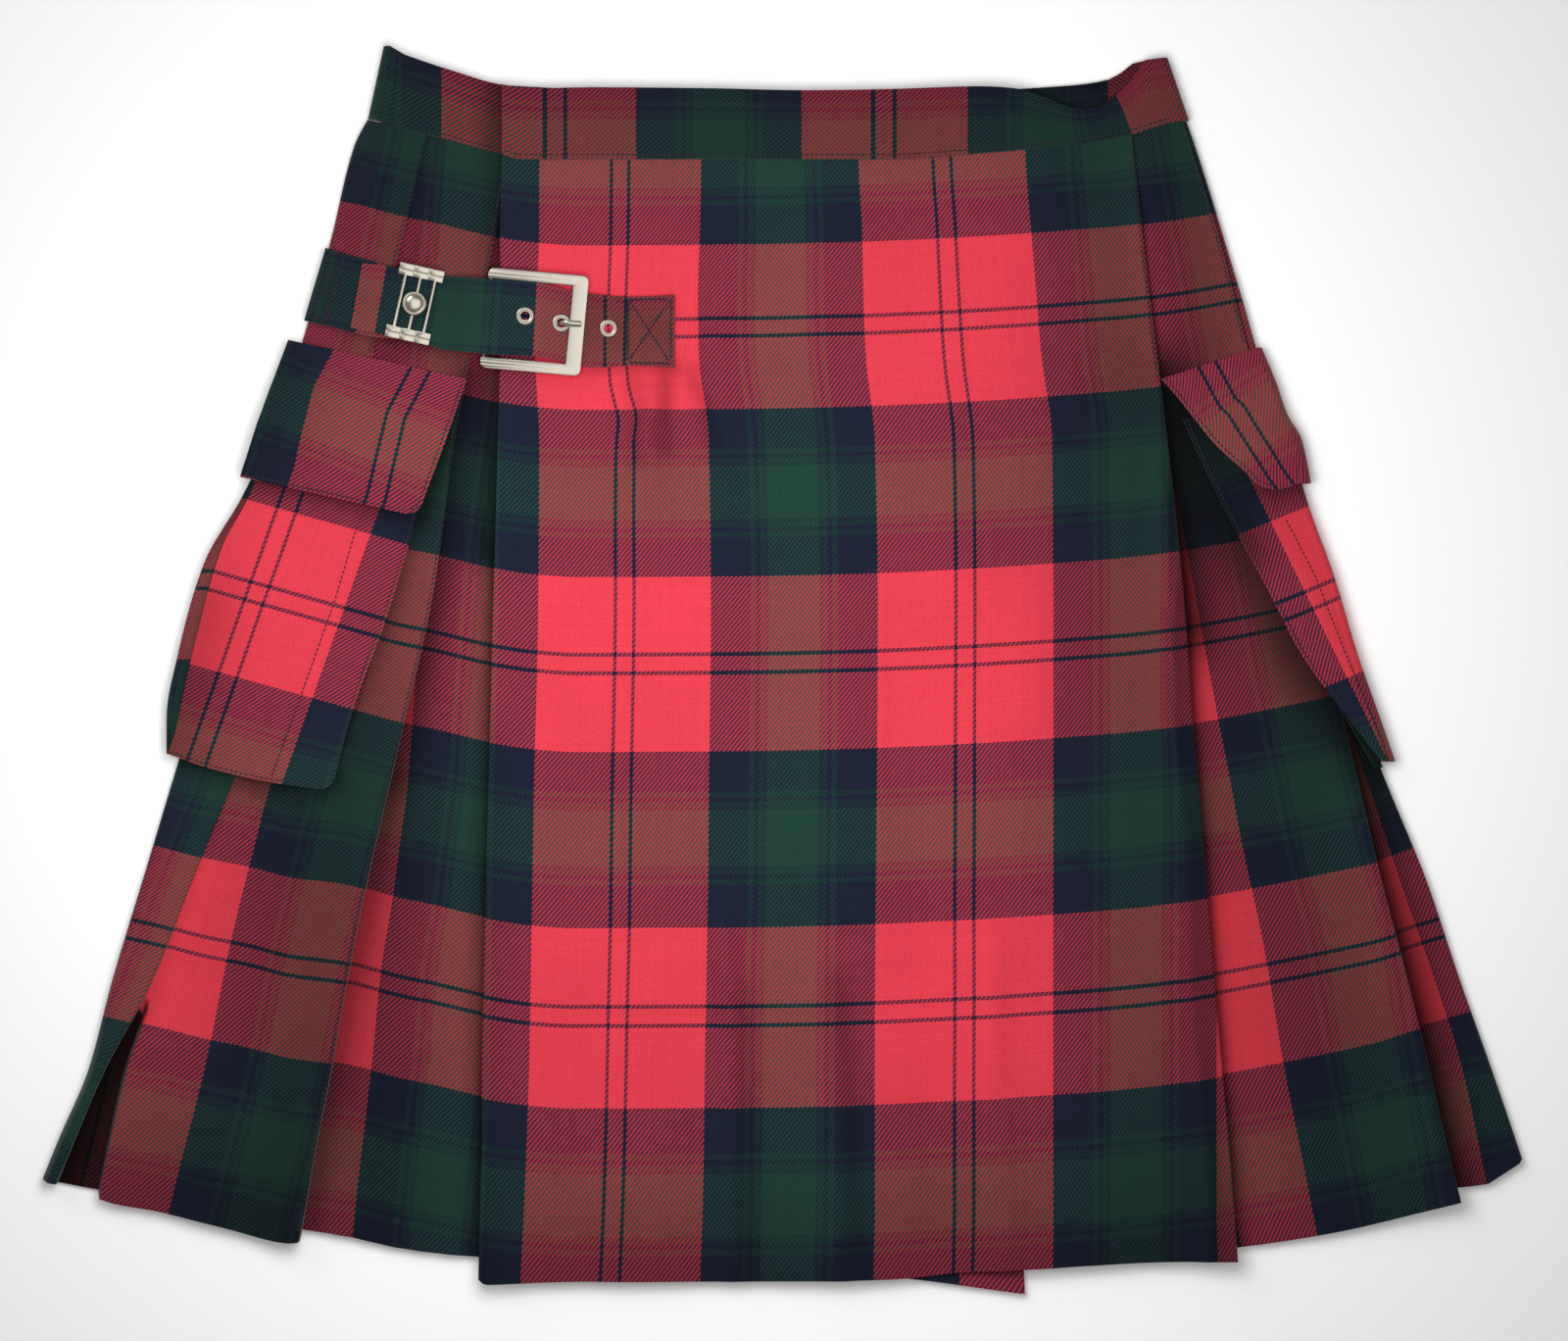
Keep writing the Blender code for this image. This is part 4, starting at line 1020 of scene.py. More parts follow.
# %% The waistband
BAND_FRONT = {
    "across": (-144, -104, -4, 104, 128, 142, 150, 160, 169, 177, 190),
    "level":  (BAND_OVER, BAND_OVER, BAND_OVER, BAND_OVER, 8.6, 7.4, 7.0,
               BAND_SIDE, BAND_SIDE, BAND_SIDE, BAND_SIDE),
}
BAND_SETT = {
    "across": (-144, -123.5, -113, -76, 9, 44, 55, 92.5, 104, 128, 150, 177, 190),
    "thread": (20.5, 38.5, 47.75, 88, 173, 211.5, 220.75, 261, 272.5, 297, 319, 346, 359),
}
BAND_CORNERS = {"right": ((207, 280), (196, 312)), "left": ((-213, 281), (-205, 318))}
BAND_ACROSS = (102.5, 136.5)
BAND_LEFT_RED = -175
BAND_SLANT = 8
BAND_DIP_X, BAND_DIP_WIDE, BAND_DIP_DEEP = 146, 16, 1.2
BAND_SEAM, BAND_SEAM_WIDE, BAND_SEAM_DEEP = .055, .025, .22
BAND_ROWS = np.array((0, .03, .055, .09, .16, .28, .42, .56, .7, .82, .91, .97, 1))
BAND_FRONT_X = np.arange(-144, 190.1, 4)
BAND_BACK_X = np.arange(190, -195, -6)
BAND_UNDER_X = np.arange(-194, 99.1, 4)


def band_station(x, level, top_table):
    """The band's lower and upper edge at a place across the kilt, and its height."""
    low = float(seam_height(x))
    high = float(smooth_curve(top_table["across"], top_table["height"])(x))
    return (x, low), (x, high), level


def band_stations():
    """The band's way round: along the front, round the right side, along the back and round the left."""
    front_level = smooth_curve(BAND_FRONT["across"], BAND_FRONT["level"])
    made = [band_station(x, float(front_level(x)), BAND_TOP) for x in BAND_FRONT_X]
    made += band_corner("right", 1, BAND_SIDE, BAND_BACK)
    made += [band_station(x, BAND_BACK, BAND_TOP_BACK) for x in BAND_BACK_X]
    made += band_corner("left", -1, BAND_BACK, BAND_SIDE)
    made += [band_station(x, BAND_SIDE, BAND_TOP_BACK) for x in BAND_UNDER_X]
    return made


def band_corner(side, facing, start, end):
    """The band's turn round one side of the kilt."""
    (low_x, low_y), (high_x, high_y) = BAND_CORNERS[side]
    radius = abs(end - start) / 2
    way = 1 if end > start else -1
    made = []
    for angle in FOLD_ANGLES:
        out = facing * (radius * cos(angle) - radius - BAND / 2)
        level = (start + end) / 2 + way * radius * sin(angle)
        made.append(((low_x + out, low_y), (high_x + out, high_y), level))
    return made


def band_threads(middle, way):
    """Number the threads along the band: those that show are named, the hidden ones lie between."""
    count = len(BAND_FRONT_X)
    back_dark = count + FOLD_STEPS + 1 + 4
    left = len(way) - len(BAND_UNDER_X) - 1
    places = list(range(count)) + [back_dark]
    values = list(np.interp(middle[:count, 0], BAND_SETT["across"], BAND_SETT["thread"]))
    values.append(2 * SETT + RED_BLOCK)
    turns = round((values[-1] + way[left] - way[back_dark] - middle[left, 0] + BAND_LEFT_RED) / SETT)
    for place in range(left, len(way)):
        places.append(place)
        values.append(turns * SETT + middle[place, 0] - BAND_LEFT_RED)
    return np.interp(way, way[places], values)


def build_band():
    stations = band_stations()
    rows = []
    for share in BAND_ROWS:
        rows.append([(a[0] + (b[0] - a[0]) * share, a[1] + (b[1] - a[1]) * share, z) for a, b, z in stations])
    points = np.array(rows)[::-1]
    share = BAND_ROWS[::-1][:, None]
    x, z = points[:, :, 0], points[:, :, 2]
    dip = np.exp(-((x - BAND_DIP_X) / BAND_DIP_WIDE) ** 2)
    dip = dip * soft_step(z, BAND_SIDE - 1, BAND_SIDE) * soft_step(share, .35, 1)
    points[:, :, 2] -= BAND_DIP_DEEP * dip * (x > 100)
    groove = np.exp(-((share - BAND_SEAM) / BAND_SEAM_WIDE) ** 2)
    points[:, :, 2] -= BAND_SEAM_DEEP * groove * (z > FRONT)
    middle = points[len(rows) // 2]
    way = way_across(middle[None])[0]
    along_band = band_threads(middle, way)
    warp = BAND_ACROSS[1] + (BAND_ACROSS[0] - BAND_ACROSS[1]) * share + np.zeros(points.shape[:2])
    weft = np.tile(along_band, (len(rows), 1))
    weft += BAND_SLANT * share * soft_step(x, 140, 165) * (z > BAND_SIDE - 1.5)
    print("the band is", round(float(way[-1])), "mm long")
    return cloth_mesh("band", points, warp, weft, BAND)


band = finish_piece(build_band(), wool, "waistband")

# %% [markdown]
# ## Laying pieces on the pile
#
# Pockets, flaps and stitches lie on what is below them. `Pile` asks the finished pieces for their highest
# point at a place, and `rest` lets a sheet touch what is high and span what is low, as stiff cloth does.

# %% The pile
RAY_START = 100
REST_REACH = 3.0
REST_STEPS = 60


class Pile:
    """The pieces laid so far, asked for their highest point at a place."""

    def __init__(self, *pieces):
        self.trees = []
        for piece in pieces:
            self.add(piece)

    def add(self, piece):
        points = [v.co / MM - SHIFT for v in piece.data.vertices]
        faces = [tuple(f.vertices) for f in piece.data.polygons]
        self.trees.append(BVHTree.FromPolygons(points, faces))

    def top(self, x, y, missing=None):
        """The highest point at a place."""
        best = missing
        for tree in self.trees:
            hit = tree.ray_cast(Vector((x, y, RAY_START)), Vector((0, 0, -1)))[0]
            if hit is not None and (best is None or hit.z > best):
                best = hit.z
        return best

    def reach(self, x, y, distance, missing):
        """The highest point at a place and on a ring round it."""
        ring = [(0, 0)] + [(distance * cos(a), distance * sin(a)) for a in np.arange(6) * pi / 3]
        return max(self.top(x + dx, y + dy, missing) for dx, dy in ring)


skirt = Pile(apron_over, side_right, back_pleats, side_left, apron_under, band)


def rest(grid_x, grid_y, wall, missing):
    """Middle heights of a sheet that is laid over the pile."""
    base = np.array([[skirt.reach(x, y, REST_REACH, missing) for x, y in zip(row_x, row_y)]
                     for row_x, row_y in zip(grid_x, grid_y)])
    base = base + GAP + wall / 2
    level = base.copy()
    for _ in range(REST_STEPS):
        wide = np.pad(level, 1, mode="edge")
        mean = (wide[:-2, 1:-1] + wide[2:, 1:-1] + wide[1:-1, :-2] + wide[1:-1, 2:]) / 4
        level = np.maximum(base, mean)
    return level


print("the pile has", len(skirt.trees), "pieces")

# %% [markdown]
# ## Cargo pockets
#
# Each pocket is a front with a folded gusset under its open edge, and a flap over its top. The tables say
# where their edges lie. `POCKET_GRAIN` says how each was cut: the direction of its threads, the place of the
# sett's first red thread both ways, and how far and where a pressed fold bends the pattern. The left front's
# hem is bowed, and its lower corner is round.

# %% Pocket outlines
POCKET_LEFT = {
    "height_far": (140, 94, 60, 6, -31, -43), "far": (-258, -270, -287, -302, -310, -314),
    "height_near": (118, 79, 62, 27, -16, -53), "near": (-174, -187, -192, -203, -220, -231),
}
GUSSET_LEFT = {
    "height": (118, 87, 54, 9, -25, -43),
    "outer": (-262, -277, -296, -309, -315, -315),
    "inner": (-246, -256, -272, -286, -294, -297),
}
FLAP_LEFT = {
    "height_far": (168, 133, 98), "far": (-253, -265.5, -277),
    "height_near": (148, 113, 78), "near": (-162, -174, -187),
}
POCKET_RIGHT = {
    "height_near": (128, 103, 76, 35, 8, -25, -46), "near": (203, 214, 227, 249, 263, 287, 303.5),
    "height_side": (128, 103, 83, 47, 7, -27, -47), "side": (254, 262, 268, 281, 293, 305, 312),
}
GUSSET_RIGHT = {
    "height": (95, 69, 35, 8, -25, -50),
    "outer": (222, 235, 253, 267, 286, 301),
    "inner": (238, 251, 268, 281, 296, 305),
}
FLAP_RIGHT = {
    "height_near": (148, 139, 114, 101, 94, 91), "near": (192, 200, 220, 234, 241, 250),
    "height_side": (164, 146, 130, 118, 106, 95), "side": (244, 251.5, 257, 264, 267, 269),
}
POCKET_RIGHT_WIDTH = 77
FLAP_RIGHT_WIDTH = 84
LEAST_WRAP = 24
POCKET_BOW = {"share": (0, .27, .64, 1), "drop": (0, 5, 8.3, 9)}
POCKET_GRAIN = {
    "piece":  ("left_front", "left_flap", "right_front", "right_flap"),
    "across": ((.942, -.336), (.944, -.331), (.898, .4405), (.853, .522)),
    "down":   ((-.269, -.963), (-.331, -.944), (.371, -.928), (.496, -.810)),
    "warp_0": (-310.3, -269.4, 255.4, 221.9),
    "weft_0": (-9.7, -175.0, 21.9, -113.5),
    "kink":   (0, 4.5, 0, 1.8),
    "kink_at": (130, 118, 130, 116),
    "kink_up": (30, 30, 30, 22),
    "kink_down": (30, 42, 30, 5),
}


def grain(name):
    """The thread map of a pocket piece, as a function of the place."""
    number = POCKET_GRAIN["piece"].index(name)
    cut = {key: values[number] for key, values in POCKET_GRAIN.items()}
    across, down, kink_at = cut["across"], cut["down"], cut["kink_at"]
    kink_span = (kink_at - cut["kink_up"], kink_at, kink_at + cut["kink_down"])

    def threads(x, y):
        weft = x * down[0] + y * down[1] - cut["weft_0"]
        bend = cut["kink"] * np.interp(weft, kink_span, (0, 1, 0))
        return x * across[0] + y * across[1] - cut["warp_0"] + bend, weft

    return threads


def outline_edge(table, side):
    """One edge of an outline: its length, and its two coordinates as functions of the way along it."""
    across = np.array(table[side], float)
    heights = np.array(table["height_" + side], float)
    way = way_along(np.column_stack([across, heights]))
    return way[-1], smooth_curve(way, across), smooth_curve(way, heights)


def patch(table, first, second, rows, columns):
    """A grid of places between two edges of an outline, row by row from the top."""
    share = np.linspace(0, 1, rows)
    edges = []
    for side in (first, second):
        long, across, height = outline_edge(table, side)
        edges.append((across(share * long), height(share * long)))
    (ax, ay), (bx, by) = edges
    t = np.linspace(0, 1, columns)[None, :]
    return ax[:, None] * (1 - t) + bx[:, None] * t, ay[:, None] * (1 - t) + by[:, None] * t


def round_corner(grid_x, grid_y, radius):
    """Round the grid's last corner: the lower end of its second edge."""
    places = np.stack([grid_x, grid_y], axis=2)
    to_edge = places[:, -1:, :] - places
    to_hem = places[-1:, :, :] - places
    a = np.linalg.norm(to_edge, axis=2)
    b = np.linalg.norm(to_hem, axis=2)
    p = np.clip(1 - a / radius, 0, 1)
    q = np.clip(1 - b / radius, 0, 1)
    inside = (p > 0) & (q > 0)
    squeeze = np.where(inside, np.maximum(p, q) / np.maximum(np.hypot(p, q), 1e-6), 1)
    edge_way = places[:, -1:, :] - places[:, :1, :]
    edge_way = edge_way / np.linalg.norm(edge_way, axis=2, keepdims=True)
    hem_way = places[-1:, :, :] - places[:1, :, :]
    hem_way = hem_way / np.linalg.norm(hem_way, axis=2, keepdims=True)
    move = radius * (1 - squeeze)[:, :, None] * (p[:, :, None] * edge_way + q[:, :, None] * hem_way)
    places = places - np.where(inside[:, :, None], move, 0)
    return places[:, :, 0], places[:, :, 1]


print(len(POCKET_GRAIN["piece"]), "pocket pieces")


# %% Gussets
GUSSET_ROWS = 44
GUSSET_BED = 6.5
GUSSET_RED_Y, GUSSET_EASE = 87, 1.08


def gusset(name, table, first_thread, node):
    """A strip folded lengthwise, its fold on the outer line."""
    y = np.linspace(table["height"][0], table["height"][-1], GUSSET_ROWS)
    outer = smooth_curve(table["height"], table["outer"])(y)
    inner = smooth_curve(table["height"], table["inner"])(y)
    share = np.array((0, .5, 1))[None, :]
    grid_x = inner[:, None] * (1 - share) + outer[:, None] * share
    grid_y = np.repeat(y[:, None], 3, axis=1)
    level = rest(grid_x, grid_y, CLOTH, GUSSET_BED).max(axis=1)
    path = [np.column_stack([inner + (outer - inner) * s, y, level]) for s in (0, .3, .55)]
    centre = outer + LAYER / 2 + CLOTH / 2
    for angle in FOLD_ANGLES:
        up = level + LAYER / 2 + LAYER / 2 * sin(angle)
        path.append(np.column_stack([centre - LAYER / 2 * cos(angle), y, up]))
    path += [np.column_stack([inner + (outer - inner) * s, y, level + LAYER]) for s in (.55, .3, 0)]
    points = np.stack(path, axis=1)
    weft = np.repeat(((GUSSET_RED_Y - y) * GUSSET_EASE)[:, None], points.shape[1], axis=1)
    piece = cloth_mesh(name, points, way_across(points) + first_thread, weft, CLOTH)
    return finish_piece(piece, wool, node)


gusset_left = gusset("pocket_gusset_left", GUSSET_LEFT, RED_BLOCK + 4, "left_pocket_gusset")
skirt.add(gusset_left)


# %% Left pocket front and flap
FRONT_BED, POCKET_BED = 8.0, 7.8
FRONT_ROWS, FRONT_COLUMNS = 60, 38
CORNER_RADIUS = 7


def laid_pocket(name, grid_x, grid_y, wall, crown, threads, node, ridges):
    """A sheet laid on the pile with a low crown and soft ridges."""
    rows, columns = grid_x.shape
    level = rest(grid_x, grid_y, wall, FRONT_BED)
    u = np.linspace(0, pi, columns)[None, :]
    v = np.linspace(0, pi, rows)[:, None]
    level = level + crown * np.sin(u) ** .7 * np.sin(v) ** .7
    level = level + ridges(grid_x, grid_y)
    points = np.stack([grid_x, grid_y, level], axis=2)
    warp, weft = threads(grid_x, grid_y)
    piece = cloth_mesh(name, points, warp, weft, wall)
    return finish_piece(piece, wool, node)


front_x, front_y = patch(POCKET_LEFT, "far", "near", FRONT_ROWS, FRONT_COLUMNS)
bow = smooth_curve(POCKET_BOW["share"], POCKET_BOW["drop"])(np.linspace(0, 1, FRONT_COLUMNS))[None, :]
front_y = front_y - bow * np.linspace(0, 1, FRONT_ROWS)[:, None] ** 3
front_x, front_y = round_corner(front_x, front_y, CORNER_RADIUS)
pocket_left = laid_pocket("pocket_left", front_x, front_y, CLOTH, 1.6, grain("left_front"),
                          "left_pocket_front",
                          lambda x, y: .7 * np.sin((x + y * .3) / 11) * soft_step(y, -40, 40))
skirt.add(pocket_left)

flap_x, flap_y = patch(FLAP_LEFT, "far", "near", 34, 40)
flap_x, flap_y = round_corner(flap_x, flap_y, CORNER_RADIUS)
flap_left = laid_pocket("flap_left", flap_x, flap_y, FLAP, .9, grain("left_flap"), "left_pocket_flap",
                        lambda x, y: 1.1 * np.exp(-((y + x * .28 - 48) / 9) ** 2))
skirt.add(flap_left)


# %% Right pocket and flap
def wrapped_pocket(name, table, width, rows, columns, wall, under, missing, crown, threads, node):
    """A sheet laid on the front, folded round the right side and laid flat under the back."""
    grid_x, grid_y = patch(table, "near", "side", rows, columns)
    side = grid_x[:, -1]
    level = rest(grid_x[:, :-1], grid_y[:, :-1], wall, missing)
    edge_level = level[:, -1]
    radius = (edge_level - under) / 2
    centre = side - radius - wall / 2
    share = np.linspace(0, 1, columns - 1)[None, :]
    front_x = grid_x[:, :1] * (1 - share) + (centre - .5)[:, None] * share
    front_y = grid_y[:, :-1]
    level = rest(front_x, front_y, wall, missing)
    level[:, -1] = edge_level
    v = np.linspace(0, pi, rows)
    path = []
    for j in range(columns - 1):
        lift = crown * sin(pi * j / (columns - 2)) * np.sin(v)
        path.append(np.column_stack([front_x[:, j], front_y[:, j], level[:, j] + lift]))
    y = grid_y[:, -1]
    for step in range(2 * FOLD_STEPS + 1):
        angle = pi / 2 - pi * step / (2 * FOLD_STEPS)
        path.append(np.column_stack([centre + radius * cos(angle), y, under + radius + radius * sin(angle)]))
    hidden = np.maximum(width - (side - grid_x[:, 0]), LEAST_WRAP)
    for part in (.25, .5, .75, 1):
        path.append(np.column_stack([side - hidden * part, y, np.full(rows, float(under))]))
    points = np.stack(path, axis=1)
    warp, weft = threads(points[:, :1, 0] + way_across(points), points[:, :, 1])
    piece = cloth_mesh(name, points, warp, weft, wall)
    return finish_piece(piece, wool, node)


gusset_right = gusset("pocket_gusset_right", GUSSET_RIGHT, RED_BLOCK + 26, "right_pocket_gusset")
skirt.add(gusset_right)
pocket_right = wrapped_pocket("pocket_right", POCKET_RIGHT, POCKET_RIGHT_WIDTH, 60, 20, CLOTH,
                              FLAP + GAP + CLOTH / 2, POCKET_BED, .8, grain("right_front"),
                              "right_pocket_front")
skirt.add(pocket_right)
flap_right = wrapped_pocket("flap_right", FLAP_RIGHT, FLAP_RIGHT_WIDTH, 36, 24, FLAP, FLAP / 2, FRONT_BED, .5,
                            grain("right_flap"), "right_pocket_flap")
skirt.add(flap_right)

# %% [markdown]
# ## The hip strap
#
# The base strap is sewn to the left yoke and goes round the buckle's bar. The tail comes back from the apron,
# through the buckle and under the keeper. Both are cut from the same tartan, and the tail has three eyelets.

# %% Strap tables
TAIL = {
    "top_x":    (-215, -200, -190, -178, -170, -162, -157, -150, -140, -126, -113, -104, -94, -79, -56),
    "top_y":    (207, 205, 203, 201, 200, 199.5, 199, 198.5, 198, 197, 194, 192, 191, 190, 191),
    "bottom_x": (-221, -206, -195, -183, -174, -166, -160, -153, -142, -128, -114, -103, -94, -80, -56),
    "bottom_y": (174, 171, 168.5, 166, 163, 162, 161.5, 160.5, 160, 159.5, 157, 154.5, 154, 155, 154),
    "level":    (10.9, 10.9, 11.0, 11.0, 11.3, 13.1, 14.6, 15.1, 14.2, 12.7, 11.2, 10.2, 9.5, 8.95, 8.8),
}
BASE = {
    "top_x":    (-234, -221, -208, -190, -172, -160),
    "top_y":    (215, 211, 207.5, 202.5, 198.5, 197.5),
    "bottom_x": (-245, -232, -212, -194, -176, -163),
    "bottom_y": (178, 175, 170, 168, 165, 162.5),
    "level":    (8.0, 9.25, 9.3, 9.3, 9.3, 9.3),
}
STRAP_COLOURS = {
    "across": (-245, -234, -215, -203.1, -126.1, -91.5, -81.2, -56),
    "thread": (58, 68, 76.5, 88, 173, 212.4, 221.6, 245),
}
BASE_START = 152.5 - SETT
BASE_NAVY_X = -227.5
STRAP_WEFT = 110
EYELETS = ((-132.0, 179.7), (-113.7, 176.3), (-89.7, 173.7))
EYELET_OUTER, EYELET_INNER, EYELET_BARREL = 4.7, 2.5, 3.1
BAR_X, BAR_LEVEL, BAR_RADIUS = -151.5, 11.35, 0.8
BUCKLE_CENTRE = (-127.2, 176.9)
BUCKLE_TURN = radians(-5.3)
LOOP_SLANT = 3.5
PRONG_SLOT_LONG, PRONG_SLOT_WIDE = 9.0, 4.8
STRAP_ROWS = 11
STRAP_STEP = 2.5


def strap_grid(table):
    """Rows of a strap from its upper to its lower edge, with fine columns."""
    middle = (np.array(table["top_x"], float) + np.array(table["bottom_x"], float)) / 2
    count = int((middle[-1] - middle[0]) / STRAP_STEP)
    at = np.linspace(middle[0], middle[-1], count)
    top = np.column_stack([smooth_curve(middle, table[k])(at) for k in ("top_x", "top_y", "level")])
    bottom = np.column_stack([smooth_curve(middle, table[k])(at) for k in ("bottom_x", "bottom_y", "level")])
    share = np.linspace(0, 1, STRAP_ROWS)[:, None, None]
    return top[None] * (1 - share) + bottom[None] * share


def tail_level(x):
    """Height of the tail's middle at a place along it."""
    middle = (np.array(TAIL["top_x"], float) + np.array(TAIL["bottom_x"], float)) / 2
    return float(smooth_curve(middle, TAIL["level"])(x))


# %% Blocks and cuts
METAL_SHARP = radians(35)


def apply_transform():
    """Put the active piece's place, turn and size into its mesh."""
    bpy.ops.object.transform_apply(location=True, rotation=True, scale=True)


def block(low, high):
    """A plain block between two corners."""
    middle = (Vector(low) + Vector(high)) / 2
    bpy.ops.mesh.primitive_cube_add(size=1, location=middle)
    made = bpy.context.active_object
    made.scale = Vector(high) - Vector(low)
    apply_transform()
    return made


def rod(start, end, radius, sides=24):
    """A round rod between two points."""
    way = Vector(end) - Vector(start)
    bpy.ops.mesh.primitive_cylinder_add(vertices=sides, radius=radius, depth=way.length,
                                        location=(Vector(start) + Vector(end)) / 2,
                                        rotation=way.to_track_quat("Z", "Y").to_euler())
    made = bpy.context.active_object
    apply_transform()
    return made


def combine(target, tool, operation):
    """Join or cut a piece with a second one, which is used up."""
    change = target.modifiers.new("combine", "BOOLEAN")
    change.operation = operation
    change.solver = "EXACT"
    change.object = tool
    bpy.context.view_layer.objects.active = target
    bpy.ops.object.modifier_apply(modifier="combine")
    bpy.data.objects.remove(tool, do_unlink=True)
    return target


def soften(target, width):
    """Break the sharp edges of a metal part."""
    edge = target.modifiers.new("soften", "BEVEL")
    edge.width = width
    edge.segments = 2
    edge.limit_method = "ANGLE"
    bpy.context.view_layer.objects.active = target
    bpy.ops.object.modifier_apply(modifier="soften")
    return target


def local_frame(centre, turn, lean=0.0, level=0.0):
    """From a part's own axes to the kilt's drawing."""
    matrix = Matrix.Translation(Vector((centre[0], centre[1], level)))
    return matrix @ Matrix.Rotation(turn, 4, "Z") @ Matrix.Rotation(lean, 4, "Y")


def lay(piece, name, matrix):
    """Bring a part from its own millimetres to its place in the frame."""
    piece.data.transform(Matrix.Scale(MM, 4) @ Matrix.Translation(SHIFT) @ matrix)
    piece.name = name
    piece.data.name = name
    piece.data.set_sharp_from_angle(angle=METAL_SHARP)
    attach(piece, "root")
    return piece


# %% Strap base and tail
def strap_weft(points):
    """The crosswise threads of a strap, counted from its upper edge."""
    return STRAP_WEFT + np.linalg.norm(points - points[:1], axis=2)


def build_base():
    """The base, with its end turned round the buckle's bar."""
    rows = strap_grid(BASE)
    low = BASE["level"][-1]
    radius = BAR_LEVEL - low
    loops = []
    for row, share in zip(rows, np.linspace(0, 1, STRAP_ROWS)):
        centre = BAR_X + LOOP_SLANT / 2 - LOOP_SLANT * share
        y = row[-1][1]
        loop = [(centre + radius * cos(a), y, low + radius + radius * sin(a))
                for a in np.linspace(-pi / 2, pi / 2, 9)]
        loop.append((centre - 5.5, y, low + 2 * radius - .6))
        loop.append((centre - 13, y + .6, low + BASE_STRAP + GAP + .1))
        loops.append(loop)
    points = np.concatenate([rows, np.array(loops)], axis=1)
    warp = BASE_START + (BASE["top_x"][0] - BASE_NAVY_X) + way_across(points)
    return cloth_mesh("strap_base", points, warp, strap_weft(points), BASE_STRAP)


def build_tail():
    points = strap_grid(TAIL)
    top_x = points[:1, :, 0] + np.zeros(points.shape[:2])
    warp = smooth_curve(STRAP_COLOURS["across"], STRAP_COLOURS["thread"])(top_x)
    return cloth_mesh("strap_tail", points, warp, strap_weft(points), STRAP)


def cut_in_place(piece, tool, matrix):
    """Cut a placed piece with a tool given in the drawing's millimetres."""
    tool.data.transform(Matrix.Scale(MM, 4) @ Matrix.Translation(SHIFT) @ matrix)
    return combine(piece, tool, "DIFFERENCE")


strap_base = build_base()
half_long, half_slot = PRONG_SLOT_LONG / 2, PRONG_SLOT_WIDE / 2
cut_in_place(strap_base, block((-half_long, -half_slot, -5), (half_long, half_slot, 5)),
             local_frame((BAR_X, BUCKLE_CENTRE[1] + half_slot), BUCKLE_TURN, 0, 11))
finish_piece(strap_base, wool, "hip_strap_base")
strap_tail = build_tail()
EYELET_FRAMES = []
for x, y in EYELETS:
    slope = (tail_level(x + 4) - tail_level(x - 4)) / 8
    middle = (tail_level(x + 4) + tail_level(x - 4)) / 2
    EYELET_FRAMES.append(local_frame((x, y), BUCKLE_TURN, -np.arctan(slope), middle))
    cut_in_place(strap_tail, rod((0, 0, -4), (0, 0, 4), EYELET_BARREL + GAP), EYELET_FRAMES[-1])
finish_piece(strap_tail, wool, "hip_strap_tail")

# %% [markdown]
# ## Buckle, keeper and eyelets
#
# These are cast, polished metal with a pale warm plating. They are made as blocks, cut and joined, with
# broken edges, because a cast part never has a sharp one. The fine grooves along the buckle's long bars are
# cut after its edges are broken, so that the bevel meets plain faces only.

# %% Material: pale polished metal
def build_metal():
    material, tree, shader = new_material("pale_metal_polished")
    shader.inputs["Metallic"].default_value = 1.0
    cloud = add_noise(tree, 90)
    tint = add_mix(tree, cloud, (0.88, 0.81, 0.68, 1), (0.94, 0.89, 0.79, 1))
    tree.links.new(tint, shader.inputs["Base Color"])
    rough = add_math(tree, "ADD", add_math(tree, "MULTIPLY", cloud, 0.08), 0.24)
    tree.links.new(rough, shader.inputs["Roughness"])
    return material


metal = build_metal()
BUCKLE_WIDE, BUCKLE_HIGH, BUCKLE_THICK = 51.5, 51.3, 1.8
BUCKLE_BAR_END, BUCKLE_BAR_LONG = 7.8, 5.6
BUCKLE_RIGHT_LEVEL = 13.1
BUCKLE_CORNER = 3.4
BUCKLE_GROOVES = (1.95, 3.7)
BUCKLE_REST = 3.6
BUCKLE_SOFT, SMALL_SOFT = .35, .3
GROOVE_HALF, GROOVE_DEEP = .36, .6
KEEPER_CENTRE = STUD_DRAWN
KEEPER_TURN = radians(-12.5)
KEEPER_WIDE, KEEPER_HIGH, KEEPER_BAR, KEEPER_THICK = 23.0, 38.5, 6.0, 1.9
KEEPER_RODS = (-7.7, 0.0, 7.7)
KEEPER_ROD = 1.0
KEEPER_LOW = 12.15
FLUTE_HALF, FLUTE_DEEP = .22, .5
SCORE_HALF, SCORE_DEEP = .2, .35
STUD_RADIUS, STUD_HIGH = 6.1, 2.6
STUD_BASE, STUD_RIM, STUD_RIM_INSET = 1.2, .6, .75
DOME_INSET, DOME_FOOT = 1.3, .9
PRONG_RADIUS, PRONG_FLAT = .72, 1.9
PRONG_Y, PRONG_TURN = 178.4, radians(-3.4)
PRONG_PATH = ((-149.0, 11.1), (-140, 10.7), (-125, 9.7), (-118.5, 9.2), (-115.6, 9.25), (-114.6, 10.1),
              (-113.0, 13.7), (-112.1, 14.9), (-110.4, 15.5), (-105, 15.6), (-103.4, 15.3))


